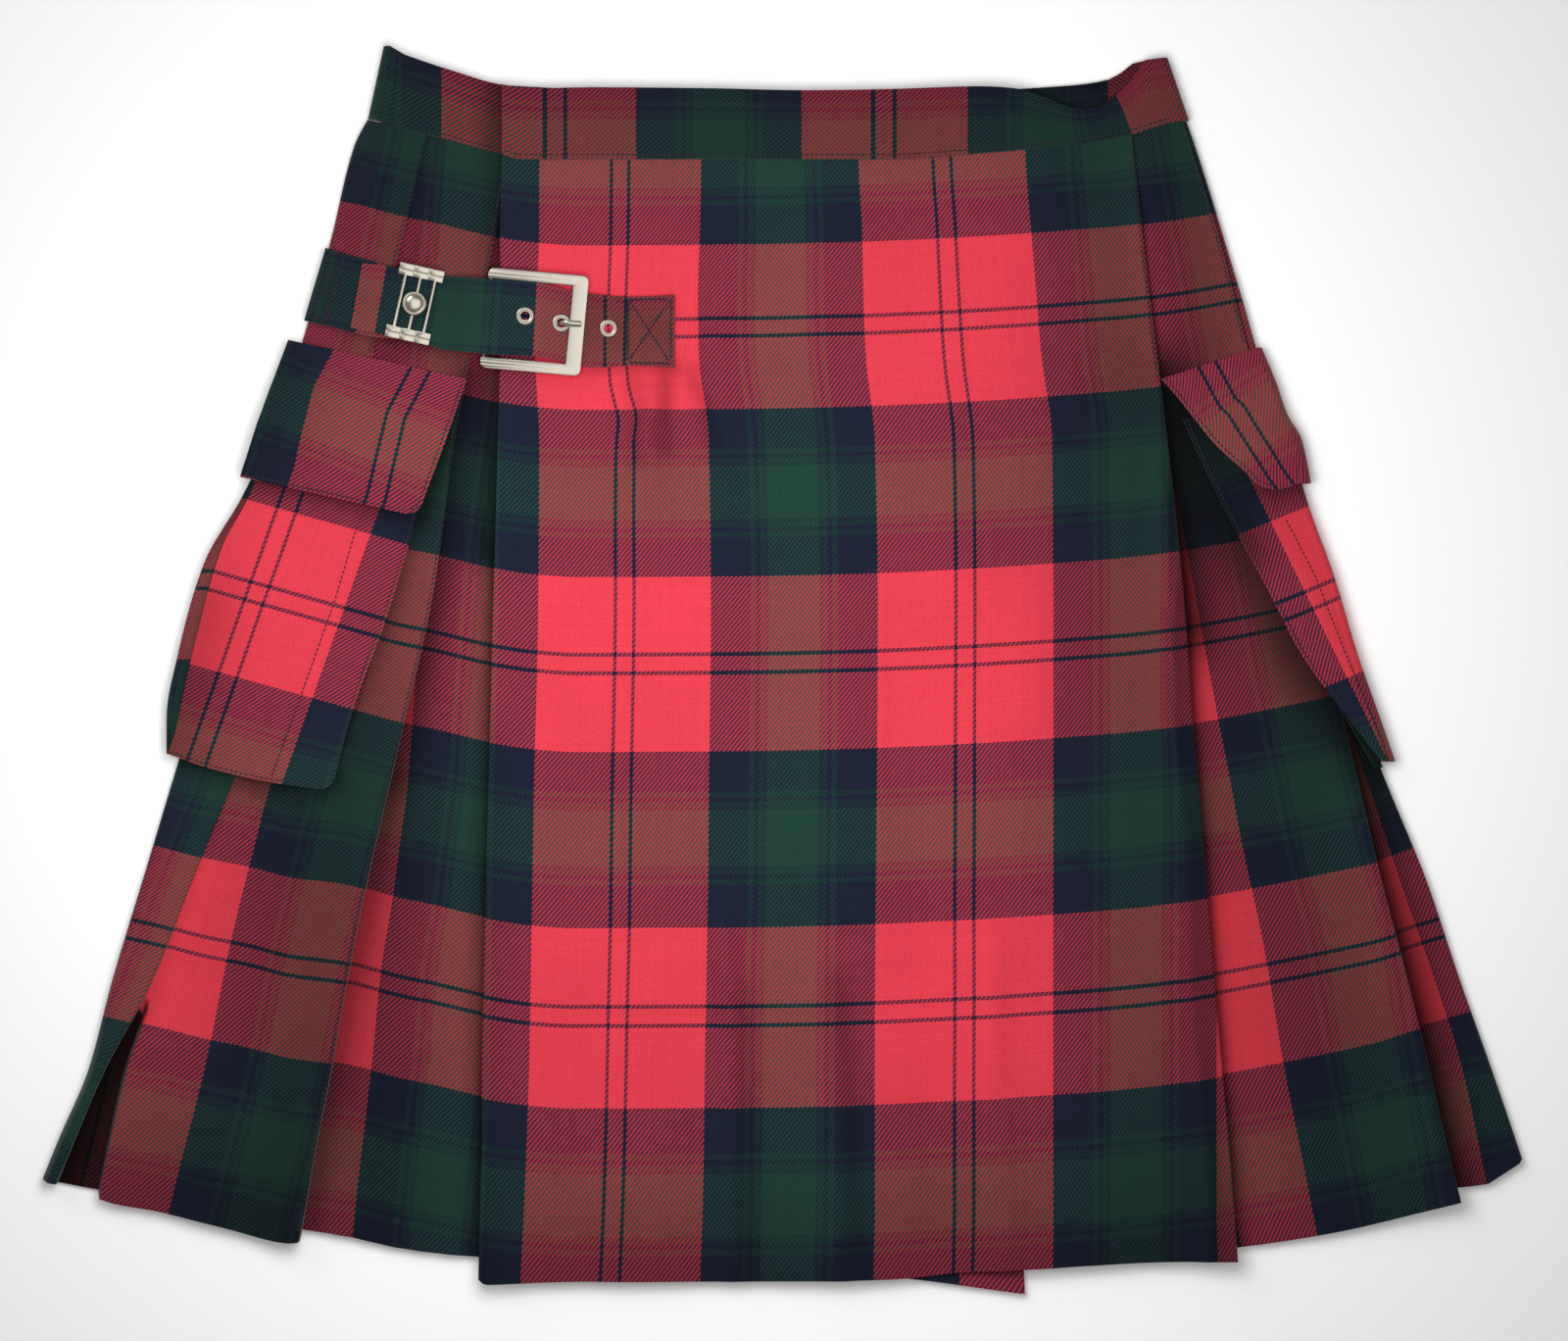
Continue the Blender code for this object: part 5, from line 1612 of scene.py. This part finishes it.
# %% Buckle
def build_buckle():
    half_wide, half_high, half_thick = BUCKLE_WIDE / 2, BUCKLE_HIGH / 2, BUCKLE_THICK / 2
    bpy.ops.mesh.primitive_plane_add(size=1)
    plate = bpy.context.active_object
    plate.scale = (BUCKLE_WIDE, BUCKLE_HIGH, 1)
    apply_transform()
    corner = plate.modifiers.new("corner", "BEVEL")
    corner.affect = "VERTICES"
    corner.width = BUCKLE_CORNER
    corner.segments = 6
    bpy.ops.object.modifier_apply(modifier="corner")
    wall = plate.modifiers.new("wall", "SOLIDIFY")
    wall.thickness = BUCKLE_THICK
    wall.offset = 0
    bpy.ops.object.modifier_apply(modifier="wall")
    window = block((-half_wide - 2, -half_high + BUCKLE_BAR_LONG, -3),
                   (half_wide - BUCKLE_BAR_END, half_high - BUCKLE_BAR_LONG, 3))
    combine(plate, window, "DIFFERENCE")
    soften(plate, BUCKLE_SOFT)
    bar_x = BAR_X - BUCKLE_CENTRE[0]
    inside = half_high - 1.5
    combine(plate, rod((bar_x, -inside, 0), (bar_x, inside, 0), BAR_RADIUS), "UNION")
    for side in (-1, 1):
        for offset in BUCKLE_GROOVES:
            y = side * (half_high - offset)
            groove = block((-half_wide - 2, y - GROOVE_HALF, half_thick - GROOVE_DEEP),
                           (half_wide - 1.6, y + GROOVE_HALF, 3))
            combine(plate, groove, "DIFFERENCE")
    return plate


def level_buckle():
    """The buckle's place: its bar on the base's loop, its other end raised on the tail."""
    bar_x = BAR_X - BUCKLE_CENTRE[0]
    end_x = BUCKLE_WIDE / 2 - BUCKLE_REST
    lean = -np.arctan2(BUCKLE_RIGHT_LEVEL - BAR_LEVEL, end_x - bar_x)
    middle = BAR_LEVEL + (BUCKLE_RIGHT_LEVEL - BAR_LEVEL) * (0 - bar_x) / (end_x - bar_x)
    return local_frame(BUCKLE_CENTRE, BUCKLE_TURN, lean, middle)


buckle = lay(build_buckle(), "buckle", level_buckle())
finish_piece(buckle, metal, "buckle_frame")


def build_prong():
    path = bpy.data.curves.new("prong_path", "CURVE")
    path.dimensions = "3D"
    path.bevel_depth = PRONG_RADIUS
    path.bevel_resolution = 4
    path.use_fill_caps = True
    line_up = path.splines.new("POLY")
    line_up.points.add(len(PRONG_PATH) - 1)
    for point, (x, z) in zip(line_up.points, PRONG_PATH):
        point.co = (x - PRONG_PATH[0][0], 0, z, 1)
    rail = place_object("prong_rail", path)
    rail.select_set(True)
    bpy.context.view_layer.objects.active = rail
    bpy.ops.object.convert(target="MESH")
    made = bpy.context.active_object
    made.data.transform(Matrix.Diagonal((1, PRONG_FLAT, 1, 1)))
    return made


prong = lay(build_prong(), "prong", local_frame((PRONG_PATH[0][0], PRONG_Y), PRONG_TURN))
finish_piece(prong, metal, "buckle_prong")


# %% Eyelets
def build_eyelet():
    face = STRAP / 2 + GAP + .25
    tube = rod((0, 0, -STRAP / 2), (0, 0, face + .5), EYELET_BARREL, 40)
    bpy.ops.mesh.primitive_torus_add(major_radius=(EYELET_OUTER + EYELET_INNER) / 2 + .1, minor_radius=1.0,
                                     major_segments=40, minor_segments=12, location=(0, 0, face + .12))
    ring = bpy.context.active_object
    apply_transform()
    ring.data.transform(Matrix.Translation((0, 0, face * .3)) @ Matrix.Diagonal((1, 1, .7, 1)))
    combine(tube, ring, "UNION")
    return combine(tube, rod((0, 0, -3), (0, 0, 4), EYELET_INNER, 40), "DIFFERENCE")


for number, place in enumerate(EYELET_FRAMES, start=1):
    eyelet = lay(build_eyelet(), "eyelet_ring_%d" % number, place)
    finish_piece(eyelet, metal, "eyelet_%d" % number)


# %% Keeper and stud
def build_keeper():
    half_wide, half_high = KEEPER_WIDE / 2, KEEPER_HIGH / 2
    frame_part = None
    for side in (-1, 1):
        outer, inner = side * half_high, side * (half_high - KEEPER_BAR)
        bar = block((-half_wide, min(outer, inner), 0), (half_wide, max(outer, inner), KEEPER_THICK))
        for x in (-half_wide / 3, half_wide / 3):
            flute = block((x - FLUTE_HALF, -half_high - 1, KEEPER_THICK - FLUTE_DEEP),
                          (x + FLUTE_HALF, half_high + 1, 3))
            combine(bar, flute, "DIFFERENCE")
        y = side * (half_high - KEEPER_BAR / 2)
        score = block((-half_wide - 1, y - SCORE_HALF, KEEPER_THICK - SCORE_DEEP),
                      (half_wide + 1, y + SCORE_HALF, 3))
        combine(bar, score, "DIFFERENCE")
        soften(bar, SMALL_SOFT)
        frame_part = bar if frame_part is None else combine(frame_part, bar, "UNION")
    reach = half_high - KEEPER_BAR + 1
    for x in KEEPER_RODS:
        post = rod((x, -reach, KEEPER_THICK / 2), (x, reach, KEEPER_THICK / 2), KEEPER_ROD, 20)
        combine(frame_part, post, "UNION")
    return frame_part


keeper = lay(build_keeper(), "keeper", local_frame(KEEPER_CENTRE, KEEPER_TURN, 0, KEEPER_LOW))
finish_piece(keeper, metal, "keeper_frame")


def build_stud():
    base = soften(rod((0, 0, 0), (0, 0, STUD_BASE), STUD_RADIUS, 48), SMALL_SOFT)
    bpy.ops.mesh.primitive_torus_add(major_radius=STUD_RADIUS - STUD_RIM_INSET, minor_radius=STUD_RIM,
                                     major_segments=48, minor_segments=10, location=(0, 0, STUD_BASE))
    rim = bpy.context.active_object
    apply_transform()
    combine(base, rim, "UNION")
    dome_radius = STUD_RADIUS - DOME_INSET
    bpy.ops.mesh.primitive_uv_sphere_add(segments=40, ring_count=20, radius=dome_radius, location=(0, 0, 0))
    dome = bpy.context.active_object
    dome.scale = (1, 1, (STUD_HIGH - DOME_FOOT) / dome_radius)
    dome.location.z = DOME_FOOT
    apply_transform()
    return combine(base, dome, "UNION")


stud_level = KEEPER_LOW + KEEPER_THICK + GAP
stud = lay(build_stud(), "stud", local_frame(KEEPER_CENTRE, KEEPER_TURN, 0, stud_level))
finish_piece(stud, metal, "keeper_stud")

# %% [markdown]
# ## Painted shade
#
# In real wool a tuck is closed so tightly that hardly any light reaches the cloth inside it, while the layers
# here are spread a little to keep them apart. So shade is painted into the wool's colour: each piece carries
# a soft mask of painted shade that the wool reads. It holds the shade inside the tucks, painted shadows
# beside folds and edges and under the flaps, pockets and strap, painted shade in the troughs of some creases,
# and a broad painted fall-off of the light towards the sides and the hem and over the waistband and strap.
# The table lists the paths that lie over a piece, how far their shade reaches, how deep it is and up to which
# height it goes: `HIGH` reaches every layer, and `LOW` leaves out the upper ones. The skirt's cloth that
# faces the table keeps its full colour.

# %% Paths of the edges
def outline_path(table, side):
    """One edge of a pocket outline as places."""
    return list(zip(table[side], table["height_" + side]))


def line_path(name, high, low):
    """A line down the cloth as places, between two heights."""
    y = np.arange(high, low, -6.0)
    return list(zip(line(name)(y), y))


LEFT_FLAP_LOW = [(-277, 98), (-232, 88.5), (-187, 78)]
LEFT_FLAP_SIDE = outline_path(FLAP_LEFT, "near")
LEFT_HEM = [(-314, -43), (-290, -51), (-260, -60), (-231, -58)]
RIGHT_FLAP_EDGE = outline_path(FLAP_RIGHT, "near") + [(269, 95)]
RIGHT_POCKET_EDGE = outline_path(POCKET_RIGHT, "near")
STRAP_LOW = list(zip(TAIL["bottom_x"], TAIL["bottom_y"]))
LOW = FRONT + 1.2
HIGH = 99
# Each row paints shade on a piece: its path, how far it reaches, how dark it is and up to which height.
PAINTED_SHADES = (
    (apron_under, line_path("apron_edge", 262, 60), 12, .74, HIGH),
    (apron_under, line_path("apron_edge", 60, -312), 7, .6, HIGH),
    (apron_under, line_path("side_fold", 150, -60), 11, .68, HIGH),
    (apron_under, line_path("side_fold", -60, -296), 12, .55, HIGH),
    (apron_under, [(-205, -10), (-206, -300)], 34, .38, HIGH),
    (side_left, line_path("apron_edge", 264, 196), 11, .55, HIGH),
    (side_left, line_path("wrap_fold", -140, -300), 44, .985, FRONT + .3),
    (side_left, LEFT_FLAP_SIDE, 11, .6, HIGH),
    (side_left, outline_path(POCKET_LEFT, "near"), 6, .45, HIGH),
    (side_left, LEFT_HEM, 8, .55, HIGH),
    (side_left, STRAP_LOW, 5, .4, HIGH),
    (side_left, [(-190, 275), (-205, 140)], 48, .34, HIGH),
    (side_left, [(-222, 20), (-250, -290)], 52, .38, HIGH),
    (side_left, [(-380, -262), (-250, -290)], 42, .28, HIGH),
    (side_right, line_path("apron_fold", 148, 20), 20, .9, HIGH),
    (side_right, line_path("apron_fold", 20, -90), 8, .4, HIGH),
    (side_right, line_path("apron_fold", -90, -300), 7, .32, HIGH),
    (side_right, RIGHT_POCKET_EDGE, 18, .78, HIGH),
    (side_right, line_path("right_fold", -40, -290), 16, .8, LOW),
    (side_right, [(192, 275), (220, 150)], 24, .36, HIGH),
    (side_right, [(240, -20), (300, -280)], 60, .3, HIGH),
    (apron_over, [(152, 262), (170, 150)], 24, .26, HIGH),
    (apron_over, [(175, 120), (205, -290)], 52, .26, HIGH),
    (apron_over, line_path("apron_edge", -40, -312), 12, .2, HIGH),
    (apron_over, [(-150, -318), (236, -304)], 42, .26, HIGH),
    (apron_over, STRAP_LOW, 4, .3, HIGH),
    (apron_over, [(-61, 152), (-60, 112)], 4.5, .28, HIGH),
    (apron_over, [(-46, 152), (-38, 118)], 4.5, .2, HIGH),
    (apron_over, [(-77, 148), (-75, 106)], 5, .2, HIGH),
    (apron_over, [(-20, -165), (-16, -316)], 7, .26, HIGH),
    (apron_over, [(28, -160), (39, -316)], 7, .24, HIGH),
    (apron_over, [(200, 90), (223, -300)], 6, .3, HIGH),
    (pocket_left, LEFT_FLAP_LOW, 7, .55, HIGH),
    (pocket_left, [(-300, 30), (-312, -40)], 20, .3, HIGH),
    (flap_left, [(-258, 166), (-277, 98)], 26, .32, HIGH),
    (pocket_right, RIGHT_FLAP_EDGE, 9, .55, HIGH),
    (pocket_right, [(203, 128), (234, 62)], 15, .62, HIGH),
    (gusset_left, outline_path(POCKET_LEFT, "far"), 5, .6, HIGH),
    (gusset_right, RIGHT_POCKET_EDGE, 10, .88, HIGH),
    (strap_tail, [(-94, 176), (-56, 172)], 26, .38, HIGH),
    (strap_tail, [(-215, 190), (-170, 184)], 20, .2, HIGH),
    (strap_base, [(-240, 196), (-215, 192)], 24, .3, HIGH),
    (band, [(-146, 262), (-145, 300)], 10, .62, BAND_SIDE + 1.8),
    (band, [(-210, 290), (196, 290)], 90, .34, HIGH),
    (band, [(100, 297), (180, 303)], 30, .4, BAND_BACK + 2),
)


# %% Paint the shade into each piece
def distance_to(path, x, y):
    """How far each place lies from a path."""
    best = np.full(len(x), 1e6)
    for (ax, ay), (bx, by) in zip(path, path[1:]):
        way_x, way_y = bx - ax, by - ay
        t = np.clip(((x - ax) * way_x + (y - ay) * way_y) / (way_x ** 2 + way_y ** 2), 0, 1)
        best = np.minimum(best, np.hypot(x - ax - t * way_x, y - ay - t * way_y))
    return best


def paint_shade(rows):
    """Give each piece its mask of painted shade: what all the rows over it leave of its light."""
    light_left = {}
    for piece, path, wide, dark, below in rows:
        places = np.array([v.co / MM - SHIFT for v in piece.data.vertices])
        mask = dark * np.exp(-(distance_to(path, places[:, 0], places[:, 1]) / wide) ** 2)
        above = 0 if piece is band else BACK + LAYER / 2
        mask *= (places[:, 2] < below) & (places[:, 2] > above)
        light_left[piece] = light_left.get(piece, 1) * (1 - mask)
    for piece, light in light_left.items():
        # The mask of painted shade is kept on the piece for the wool to read.
        layer = piece.data.attributes.new("painted_shade", "FLOAT", "POINT")
        layer.data.foreach_set("value", (1 - light).astype(np.float32))
    return len(light_left)


print(paint_shade(PAINTED_SHADES), "pieces have shaded tucks")

# %% [markdown]
# ## Stitches
#
# A topstitch shows as a row of short, slightly sunken threads. A texture could draw them, but real thread
# catches the light, so each is made as a small spindle that lies on the cloth below it, one after the other
# along the seam. Most seams follow a line or outline of the cloth below, and a few are given one by one.

# %% Material: sewing thread
def build_thread(name, dark, light):
    material, tree, shader = new_material(name)
    shader.inputs["Roughness"].default_value = 0.6
    shader.inputs["Sheen Weight"].default_value = 0.1
    cloud = add_noise(tree, 700)
    tree.links.new(add_mix(tree, cloud, dark, light), shader.inputs["Base Color"])
    return material


thread = build_thread("sewing_thread", (0.006, 0.005, 0.012, 1), (0.022, 0.012, 0.024, 1))


# %% Rows of stitches
STITCH_PITCH, STITCH_LONG, STITCH_RADIUS = 2.6, 2.1, 0.33
PATH_STEP = 1.0
STITCH_RINGS = (.22, .78)
STITCH_STAND = .55
STITCH_CLIMB = .8


def spindle(a, b, radius):
    """A short thread: two tips and two rings of four points."""
    way = (b - a).normalized()
    side = way.cross(Vector((0, 0, 1))).normalized() * radius
    up = side.cross(way).normalized() * radius
    made = [a]
    for t in STITCH_RINGS:
        middle = a.lerp(b, t)
        made += [middle + side, middle + up, middle - side, middle - up]
    made.append(b)
    return made


SPINDLE_FACES = ([[0, 1 + (k + 1) % 4, 1 + k] for k in range(4)]
                 + [[1 + k, 1 + (k + 1) % 4, 5 + (k + 1) % 4, 5 + k] for k in range(4)]
                 + [[9, 5 + k, 5 + (k + 1) % 4] for k in range(4)])


def stitch_row(path, pile_below, points, faces, pitch=STITCH_PITCH, long=STITCH_LONG, radius=STITCH_RADIUS):
    """Lay stitches along a path of places; none spans a step in the cloth."""
    path = np.array(path, float)
    way = way_along(path)
    for start in np.arange(pitch * .3, way[-1] - long, pitch):
        ends = []
        for at in (start, start + long):
            x, y = np.interp(at, way, path[:, 0]), np.interp(at, way, path[:, 1])
            z = pile_below.top(x, y)
            if z is not None:
                ends.append(Vector((x, y, z + radius * STITCH_STAND)))
        if len(ends) < 2 or abs(ends[0].z - ends[1].z) > STITCH_CLIMB:
            continue
        first = len(points)
        points += spindle(ends[0], ends[1], radius)
        faces += [[first + i for i in face] for face in SPINDLE_FACES]


def sew(name, rows, cloth, **sizes):
    """One piece with all the stitches that some rows lay on a cloth."""
    points, faces = [], []
    pile_below = Pile(cloth)
    for path in rows:
        stitch_row(path, pile_below, points, faces, **sizes)
    mesh = bpy.data.meshes.new(name)
    mesh.from_pydata([(p + SHIFT) * MM for p in points], [], faces)
    piece = place_object(name, mesh)
    piece.data.shade_smooth()
    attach(piece, "root")
    return finish_piece(piece, thread)


def down(edge, offset, high, low):
    """A seam that follows a line down the cloth."""
    y = np.arange(high, low, -2.0)
    return np.column_stack([edge(y) + offset, y])


def inset(path, distance):
    """A path moved sideways, to its right for a positive distance."""
    path = np.array(path, float)
    way = np.gradient(path, axis=0)
    way /= np.maximum(np.linalg.norm(way, axis=1, keepdims=True), 1e-6)
    return path + np.column_stack([way[:, 1], -way[:, 0]]) * distance


def dense(path):
    """The same path with evenly spaced places."""
    path = np.array(path, float)
    way = way_along(path)
    at = np.arange(0, way[-1], PATH_STEP)
    return np.column_stack([np.interp(at, way, path[:, k]) for k in (0, 1)])


# %% Stitches of the band and the yoke
SEAM_INSET, EDGE_INSET, PLEAT_INSET = 1.6, 1.7, 1.4
BAND_SEAM_UP = 2.2

band_x = np.arange(-143.5, 198, 2.0)
left_x = np.arange(-205, -147, 2.0)
band_rows = [np.column_stack([xs, seam_height(xs) + BAND_SEAM_UP]) for xs in (band_x, left_x)]
band_stitches = sew("stitches_band", band_rows, band)
yoke_rows = [down(wrap_fold, -SEAM_INSET, 266, 160), down(side_fold, -SEAM_INSET, 259, 146)]
yoke_left = sew("stitches_yoke_left", yoke_rows, side_left)
pleat_stitches = sew("stitches_side_pleat", [down(side_fold, -PLEAT_INSET, 128, -288)], side_left)
yoke_right = sew("stitches_yoke_right", [down(right_fold, -SEAM_INSET, 262, 165)], side_right)
apron_stitches = sew("stitches_apron", [down(apron_fold, -SEAM_INSET, 264, 150)], apron_over)

# %% Stitches of the pockets
def side_and_hem(grid_x, grid_y):
    """A seam that goes down the near side of a pocket piece and along its hem."""
    grid = np.stack([grid_x, grid_y], axis=2)
    return inset(dense(np.concatenate([grid[:, -1], grid[-1, ::-1][1:]])), EDGE_INSET)


front_rows = [
    side_and_hem(front_x, front_y),
    dense([(-214.5, 81), (-219, 69), (-229, 35.5), (-245.5, -11), (-262, -56)]),
]
pocket_left_stitches = sew("stitches_pocket_left", front_rows, pocket_left)
flap_left_stitches = sew("stitches_flap_left", [side_and_hem(flap_x, flap_y)], flap_left)


def edge_down(table, side):
    """The smooth edge of a pocket outline."""
    long, across, height = outline_edge(table, side)
    at = np.arange(0, long, PATH_STEP)
    return np.column_stack([across(at), height(at)])


flap_edge = edge_down(FLAP_RIGHT, "near")
flap_right_stitches = sew("stitches_flap_right", [inset(flap_edge, -EDGE_INSET)], flap_right)
right_rows = [
    inset(edge_down(POCKET_RIGHT, "near"), -EDGE_INSET),
    dense([(255, 77), (270.5, 47), (286.5, 5.5), (307, -41)]),
]
pocket_right_stitches = sew("stitches_pocket_right", right_rows, pocket_right)

# %% Box stitches of the strap and the buttonhole
BOX_TAIL = ((-79.5, 188.5), (-58, 189), (-58, 156), (-80, 156.5))
BOX_BASE = ((-232.5, 212.5), (-224, 210.5), (-233, 177.5), (-242.5, 180))
BOX_SIZES = {"pitch": 2.3, "radius": .5}
BUTTONHOLE_SIZES = {"pitch": 5, "long": .85, "radius": .2}


def box_rows(corners):
    """A box of stitches with its two diagonals."""
    a, b, c, d = corners
    return [dense([a, b]), dense([b, c]), dense([c, d]), dense([d, a]), dense([a, c]), dense([b, d])]


box_tail = sew("stitches_strap_tail", box_rows(BOX_TAIL), strap_tail, **BOX_SIZES)
box_base = sew("stitches_strap_base", box_rows(BOX_BASE), strap_base, **BOX_SIZES)


def buttonhole_rows(x, high, low):
    """Close crosswise stitches on both sides of a slit, and a bar at each end."""
    rows = [[(x - 1.5, y), (x - .25, y)] for y in np.arange(low, high, .5)]
    rows += [[(x + .25, y), (x + 1.5, y)] for y in np.arange(low, high, .5)]
    rows += [[(x - 1.5, y), (x + 1.5, y)] for y in (low - .5, low - .1, high + .1, high + .5)]
    return rows


buttonhole = sew("stitches_buttonhole", buttonhole_rows(-119.6, 283.5, 272.5), band, **BUTTONHOLE_SIZES)

# %% [markdown]
# ## The table
#
# The kilt lies on a plain pale sheet, which is wide enough to fill the view from any side. A faint glow of
# its own keeps it pale round the kilt.

# %% Floor
FLOOR_WIDE, FLOOR_DROP = 40, 0.0004
bpy.ops.mesh.primitive_plane_add(size=FLOOR_WIDE, location=(0, 0, -FLOOR_DROP))
floor = bpy.context.active_object
floor.name = "table"
floor_material, _, floor_shader = new_material("pale_table")
floor_shader.inputs["Base Color"].default_value = (0.93, 0.93, 0.93, 1)
floor_shader.inputs["Roughness"].default_value = 0.9
floor_shader.inputs["Emission Color"].default_value = (1, 1, 1, 1)
floor_shader.inputs["Emission Strength"].default_value = 0.17
floor.data.materials.append(floor_material)
print("the table is in place")

# %% [markdown]
# ## The cut of each sheet
#
# Every wool piece is a sheet that was cut flat. Its greatest width and length and its area, as it was cut,
# were measured when its mesh was made. The table lists each sheet, whether it is laid or folded, what it
# rests on and the stitches sewn on it, and each sheet's width and length are printed.

# %% List the sheets and print their cut
SHEETS = (
    (apron_over, "laid", [apron_under, side_left, side_right], [apron_stitches]),
    (side_right, "folded", [back_pleats], [yoke_right]),
    (back_pleats, "folded", [floor], []),
    (side_left, "folded", [back_pleats], [yoke_left, pleat_stitches]),
    (apron_under, "laid", [back_pleats], []),
    (band, "folded", [floor], [band_stitches, buttonhole]),
    (gusset_left, "folded", [side_left], []),
    (pocket_left, "laid", [side_left, gusset_left], [pocket_left_stitches]),
    (flap_left, "laid", [pocket_left, side_left], [flap_left_stitches]),
    (gusset_right, "folded", [side_right], []),
    (pocket_right, "laid", [side_right, gusset_right], [pocket_right_stitches]),
    (flap_right, "laid", [pocket_right, side_right], [flap_right_stitches]),
    (strap_base, "laid", [side_left], [box_base]),
    (strap_tail, "laid", [strap_base, apron_over], [box_tail]),
)
for piece, held, below, sewn_on in SHEETS:
    wide, long, cut = FLAT_SIZES[piece.name]
    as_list(below)
    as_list(sewn_on)
    print(piece.name, "was cut", round(wide * 1000), "by", round(long * 1000), "mm")

# %% [markdown]
# ## Light and camera
#
# A small soft light hangs low over the middle, so that the sides fall off a little. A big softbox and a
# window give the metal its reflections, and the room fills the shadows. The camera looks straight down.

# %% Light
def area_light(name, place, size, power):
    """A soft white square light that looks at the middle of the kilt."""
    light = bpy.data.lights.new(name, "AREA")
    light.size = size
    light.energy = power
    lamp = place_object(name, light)
    lamp.location = place
    lamp.rotation_euler = (-Vector(place)).to_track_quat("-Z", "Y").to_euler()
    return lamp


key_light = area_light("key_light", (-0.06, 0.04, 0.56), 0.40, 3.45)
key_light.visible_glossy = False
area_light("softbox", (0.0, 0.2, 1.7), 1.5, 5.6)
area_light("window_light", (-1.1, 1.1, 1.0), 0.8, 4.6)
world = bpy.data.worlds.new("studio")
world.use_nodes = True
world.node_tree.nodes["Background"].inputs["Color"].default_value = (1, 1, 1, 1)
world.node_tree.nodes["Background"].inputs["Strength"].default_value = 0.13
bpy.context.scene.world = world
bpy.context.scene.view_settings.view_transform = "Standard"
print("three soft lights and a dim room")

# %% Camera
VIEW_WIDE = 0.800
CAMERA_PLACE = (0.0006, 0.0)
MIDDLE_HEIGHT = 0.008
LENS, SENSOR = 85.0, 36.0

camera_data = bpy.data.cameras.new("camera")
camera_data.lens = LENS
camera_data.sensor_width = SENSOR
camera = place_object("camera", camera_data)
camera.location = (CAMERA_PLACE[0], CAMERA_PLACE[1], MIDDLE_HEIGHT + VIEW_WIDE * LENS / SENSOR)
bpy.context.scene.camera = camera
print("the camera hangs", round(camera.location.z, 3), "m above the table")
